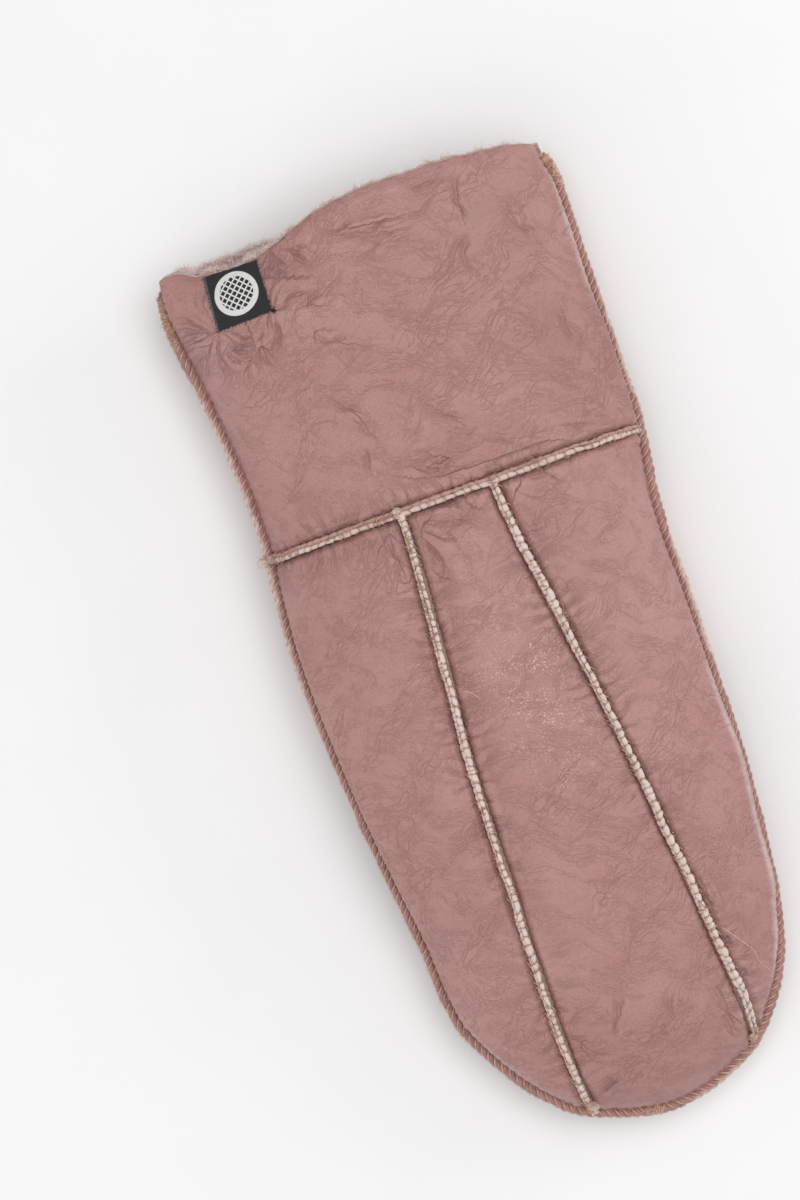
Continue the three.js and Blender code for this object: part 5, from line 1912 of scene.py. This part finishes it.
rng = np.random.default_rng(9)
for mouth, height, up in (("back", back_height, 1), ("palm", palm_height, -1)):
    place, out, depth = strand_roots(height, mouth, up, rng)
    at_rim = 1 - smoothstep(depth, 0.3, 3.5)
    length = rng.uniform(1.2, 2.5, len(place))
    below = WOOL_FACE + rng.random(len(place)) * (0.4 + 2.6 * at_rim) + (PILE - 1.2) * (1 - at_rim)
    lock = np.column_stack([soft_noise(place[:, 0], place[:, 1], 1.9, seed) for seed in (311, 312, 313)])
    lean = -out * (0.8 - 0.5 * at_rim)[:, None] + np.outer(0.35 + 0.75 * at_rim, (0, 1, 0)) + 1.1 * lock
    lean = lean + rng.normal(0, 0.3, lean.shape)
    (points, faces), share = fibre_tubes(
        place - out * below[:, None], lean, length, rng.uniform(0.07, 0.13, len(place)), 0.8, rng, rings=3
    )
    points[:, 2] = np.maximum(points[:, 2], 0.1)
    values = {"tip": np.tile(np.repeat(share, 3), len(place))}
    make_piece(f"mouth_wool_{mouth}", points, faces, wool, [], values)

# %% [markdown]
# ## The label
# A plain black woven tape is sewn on at its corners, close to the rim, with a pale ring and a lattice
# woven into it. It could be a flat rectangle, but it takes the shape of the cuff under it. A mesh for its
# weave would be heavy for so small a thing, so the tape waves gently and its weave is in the material.

# %% Label
LABEL_STEPS = 60
LABEL_LIFT = 0.55
LABEL_THICK = 0.45
RING = 0.355  # the pale ring's radius, as a share of the label
FRAYS = {"corner": 26, "edges": 150}


def build_tape():
    material, tree, shader, position = new_material("woven_tape", Roughness=0.8)
    u, v, _ = add_node(tree, "SeparateXYZ", {0: attribute(tree, "weave", "Vector")}).outputs
    warp = calc(tree, "ABSOLUTE", calc(tree, "SINE", times(tree, u, 150.0)))
    weft = calc(tree, "ABSOLUTE", calc(tree, "SINE", times(tree, v, 190.0)))
    ribs = times(tree, warp, weft)
    off_u, off_v = minus(tree, u, 0.5), minus(tree, v, 0.53)
    squares = plus(tree, times(tree, off_u, off_u), times(tree, off_v, off_v))
    radius = calc(tree, "SQRT", squares)
    ring = ramp(tree, calc(tree, "ABSOLUTE", minus(tree, radius, RING)), 0.042, 0.052, 1.0, 0.0)
    slanted = [plus(tree, u, v), minus(tree, u, v)]
    stripes = [calc(tree, "PINGPONG", times(tree, way, 7.5), 0.5) for way in slanted]
    lattice_line = ramp(tree, calc(tree, "MINIMUM", *stripes), 0.12, 0.16, 1.0, 0.0)
    inside = ramp(tree, radius, 0.31, 0.32, 1.0, 0.0)
    drawn = calc(tree, "MAXIMUM", ring, times(tree, lattice_line, inside))
    yarn = times(tree, drawn, ramp(tree, weft, 0.0, 0.5, 0.8, 1.0))
    fibres = use_group(tree, short_fibres, Vector=position, Size=0.3)
    black = blend_colour(tree, times(tree, fibres["Mask"], ribs), TAPE_BLACK, TAPE_SHEEN)
    # A painted highlight: a pale grey hem along the left edge, where the tape rolls up.
    hem = times(tree, ramp(tree, u, 0.01, 0.045, 1.0, 0.0), fibres["Mask"])
    black = blend_colour(tree, times(tree, hem, 0.75), black, TAPE_HEM_HIGHLIGHT)
    height = plus(tree, times(tree, ribs, 0.12), times(tree, yarn, 0.1))
    set_surface(tree, shader, blend_colour(tree, yarn, black, YARN_WHITE), height)
    return material


share = np.linspace(0, 1, LABEL_STEPS)
u, v = (values.ravel() for values in np.meshgrid(share, share))
top_left, top_right, low_right, low_left = (np.array(corner) for corner in LABEL_CORNERS.values())
low = low_left + (low_right - low_left) * u[:, None]
high = top_left + (top_right - top_left) * u[:, None]
plan = low + (high - low) * v[:, None]
rag = 0.12 * soft_noise(u * 40, v * 40, 2.2, 401)
plan += np.column_stack([rag * (np.abs(u - 0.5) > 0.47), rag * (np.abs(v - 0.5) > 0.47)])
place, out = back_face(flatten(*plan.T))
smooth_place, _ = bare_face(back_height, 1)(flatten(*plan.T))
held = 1 - np.minimum(1, 16 * (u * (1 - u)) * (v * (1 - v)) * 3)
belly = 0.5 * np.sin(np.pi * u) * np.sin(np.pi * v) + 0.14 * soft_noise(u * 16, v * 16, 5, 402)
rolled = 0.5 * hump(u, 0.07) + 0.25 * hump(1 - v, 0.06)
lift = np.maximum(place[:, 2] - smooth_place[:, 2], -0.2) + LABEL_LIFT + belly * (1 - 0.7 * held) + rolled
face = smooth_place + out * lift[:, None]
corner = np.arange(LABEL_STEPS**2).reshape(LABEL_STEPS, LABEL_STEPS)
quads = np.stack([corner[:-1, :-1], corner[:-1, 1:], corner[1:, 1:], corner[1:, :-1]], axis=-1)
quads = quads.reshape(-1, 4)
count = len(face)
rim = np.concatenate([corner[0, :-1], corner[:-1, -1], corner[-1, :0:-1], corner[:0:-1, 0]])
walls = np.column_stack([np.roll(rim, -1), rim, count + rim, count + np.roll(rim, -1)])
faces = np.vstack([quads, count + quads[:, ::-1], walls])
values = {"weave": np.tile(np.column_stack([u, v, 0 * u]), (2, 1))}
both_faces = np.vstack([face, face - out * LABEL_THICK])
woven_tape = build_tape()
tape = make_piece("label_tape", both_faces, faces, woven_tape, ["label"], values)
low_right_corner = np.full(FRAYS["corner"], np.argmin(np.hypot(u - 1, v)))
open_edges = np.flatnonzero((v == 0) | (u == 0) | (u == 1))
fray_at = np.concatenate([low_right_corner, rng.choice(open_edges, FRAYS["edges"])])
roots = face[fray_at] - out[fray_at] * 0.2 + rng.normal(0, 0.18, (len(fray_at), 3)) * [1, 1, 0.3]
outwards = np.column_stack([u - 0.5, v - 0.5, 0.1 + 0 * u])[fray_at]
outwards = outwards + rng.normal(0, 0.5, (len(fray_at), 3)) * [1, 1, 0.3]
lengths = np.where(np.arange(len(fray_at)) < FRAYS["corner"], 1.5, 0.55)
lengths = lengths * rng.uniform(0.6, 1.3, len(fray_at))
(points, faces), _ = fibre_tubes(roots, outwards, lengths, rng.uniform(0.06, 0.1, len(roots)), 0.5, rng)
weave = np.tile([[0.5, 0.04, 0.0]], (len(points), 1))
frays = make_piece("label_frays", points, faces, woven_tape, [], {"weave": weave})

# %% [markdown]
# ## Camera, table and light
# The photograph looks straight down on the mitten, which lies turned on the table. Its light is wide
# and soft, so the studio has a large panel overhead and a pale table that fills the shadows.

# %% Camera, table and light
CAMERA_DISTANCE = 1.2
VIEW_HEIGHT = 0.354  # what the photograph's height covers
VIEW_PLANE = 0.027  # at this height over the table
SENSOR = 36

centre = (np.append(VIEW_CENTRE, 0) + DRAWING_TO_FRAME) * MM
camera_data = bpy.data.cameras.new("camera")
camera_data.sensor_width = SENSOR
camera_data.lens = SENSOR * CAMERA_DISTANCE / VIEW_HEIGHT
camera = bpy.data.objects.new("camera", camera_data)
camera.location = (centre[0], centre[1], VIEW_PLANE + CAMERA_DISTANCE)
camera.rotation_euler = (0, 0, -PHOTO_TURN)
scene.collection.objects.link(camera)
bpy.context.scene.camera = camera

floor_material, floor_tree, floor_shader, floor_position = new_material("pale_table", Roughness=0.9)
speck = noise(floor_tree, floor_position, 40.0)
pale = blend_colour(floor_tree, speck, (0.87, 0.87, 0.87, 1), (0.9, 0.9, 0.9, 1))
floor_tree.links.new(pale, floor_shader.inputs["Base Color"])
floor_mesh = bpy.data.meshes.new("table_top")
floor_mesh.from_pydata([(-3, -3, 0), (3, -3, 0), (3, 3, 0), (-3, 3, 0)], [], [(0, 1, 2, 3)])
floor_mesh.materials.append(floor_material)
floor = bpy.data.objects.new("table_top", floor_mesh)
scene.collection.objects.link(floor)

LIGHTS = table(
    "x y z size power",
    (0.2, 0.1, 1.5, 1.2, 13), (-0.7, -0.5, 1.1, 1.0, 2.4), (1.1, 0.1, 0.3, 0.7, 4),
    (-1.1, -0.3, 0.3, 0.7, 2.5),
)
for number, (x, y, z, size, power) in enumerate(zip(*LIGHTS.values())):
    light_data = bpy.data.lights.new(f"softbox_{number}", "AREA")
    light_data.size = size
    light_data.energy = power
    light = bpy.data.objects.new(f"softbox_{number}", light_data)
    light.location = (x, y, z)
    scene.collection.objects.link(light)
    aim = Vector((0, 0, 0.03)) - light.location
    light.rotation_euler = aim.to_track_quat("-Z", "Y").to_euler()

world = bpy.data.worlds.new("studio")
world.use_nodes = True
world.node_tree.nodes["Background"].inputs["Color"].default_value = (1, 1, 1, 1)
world.node_tree.nodes["Background"].inputs["Strength"].default_value = 0.42
scene.world = world
scene.view_settings.view_transform = "Standard"
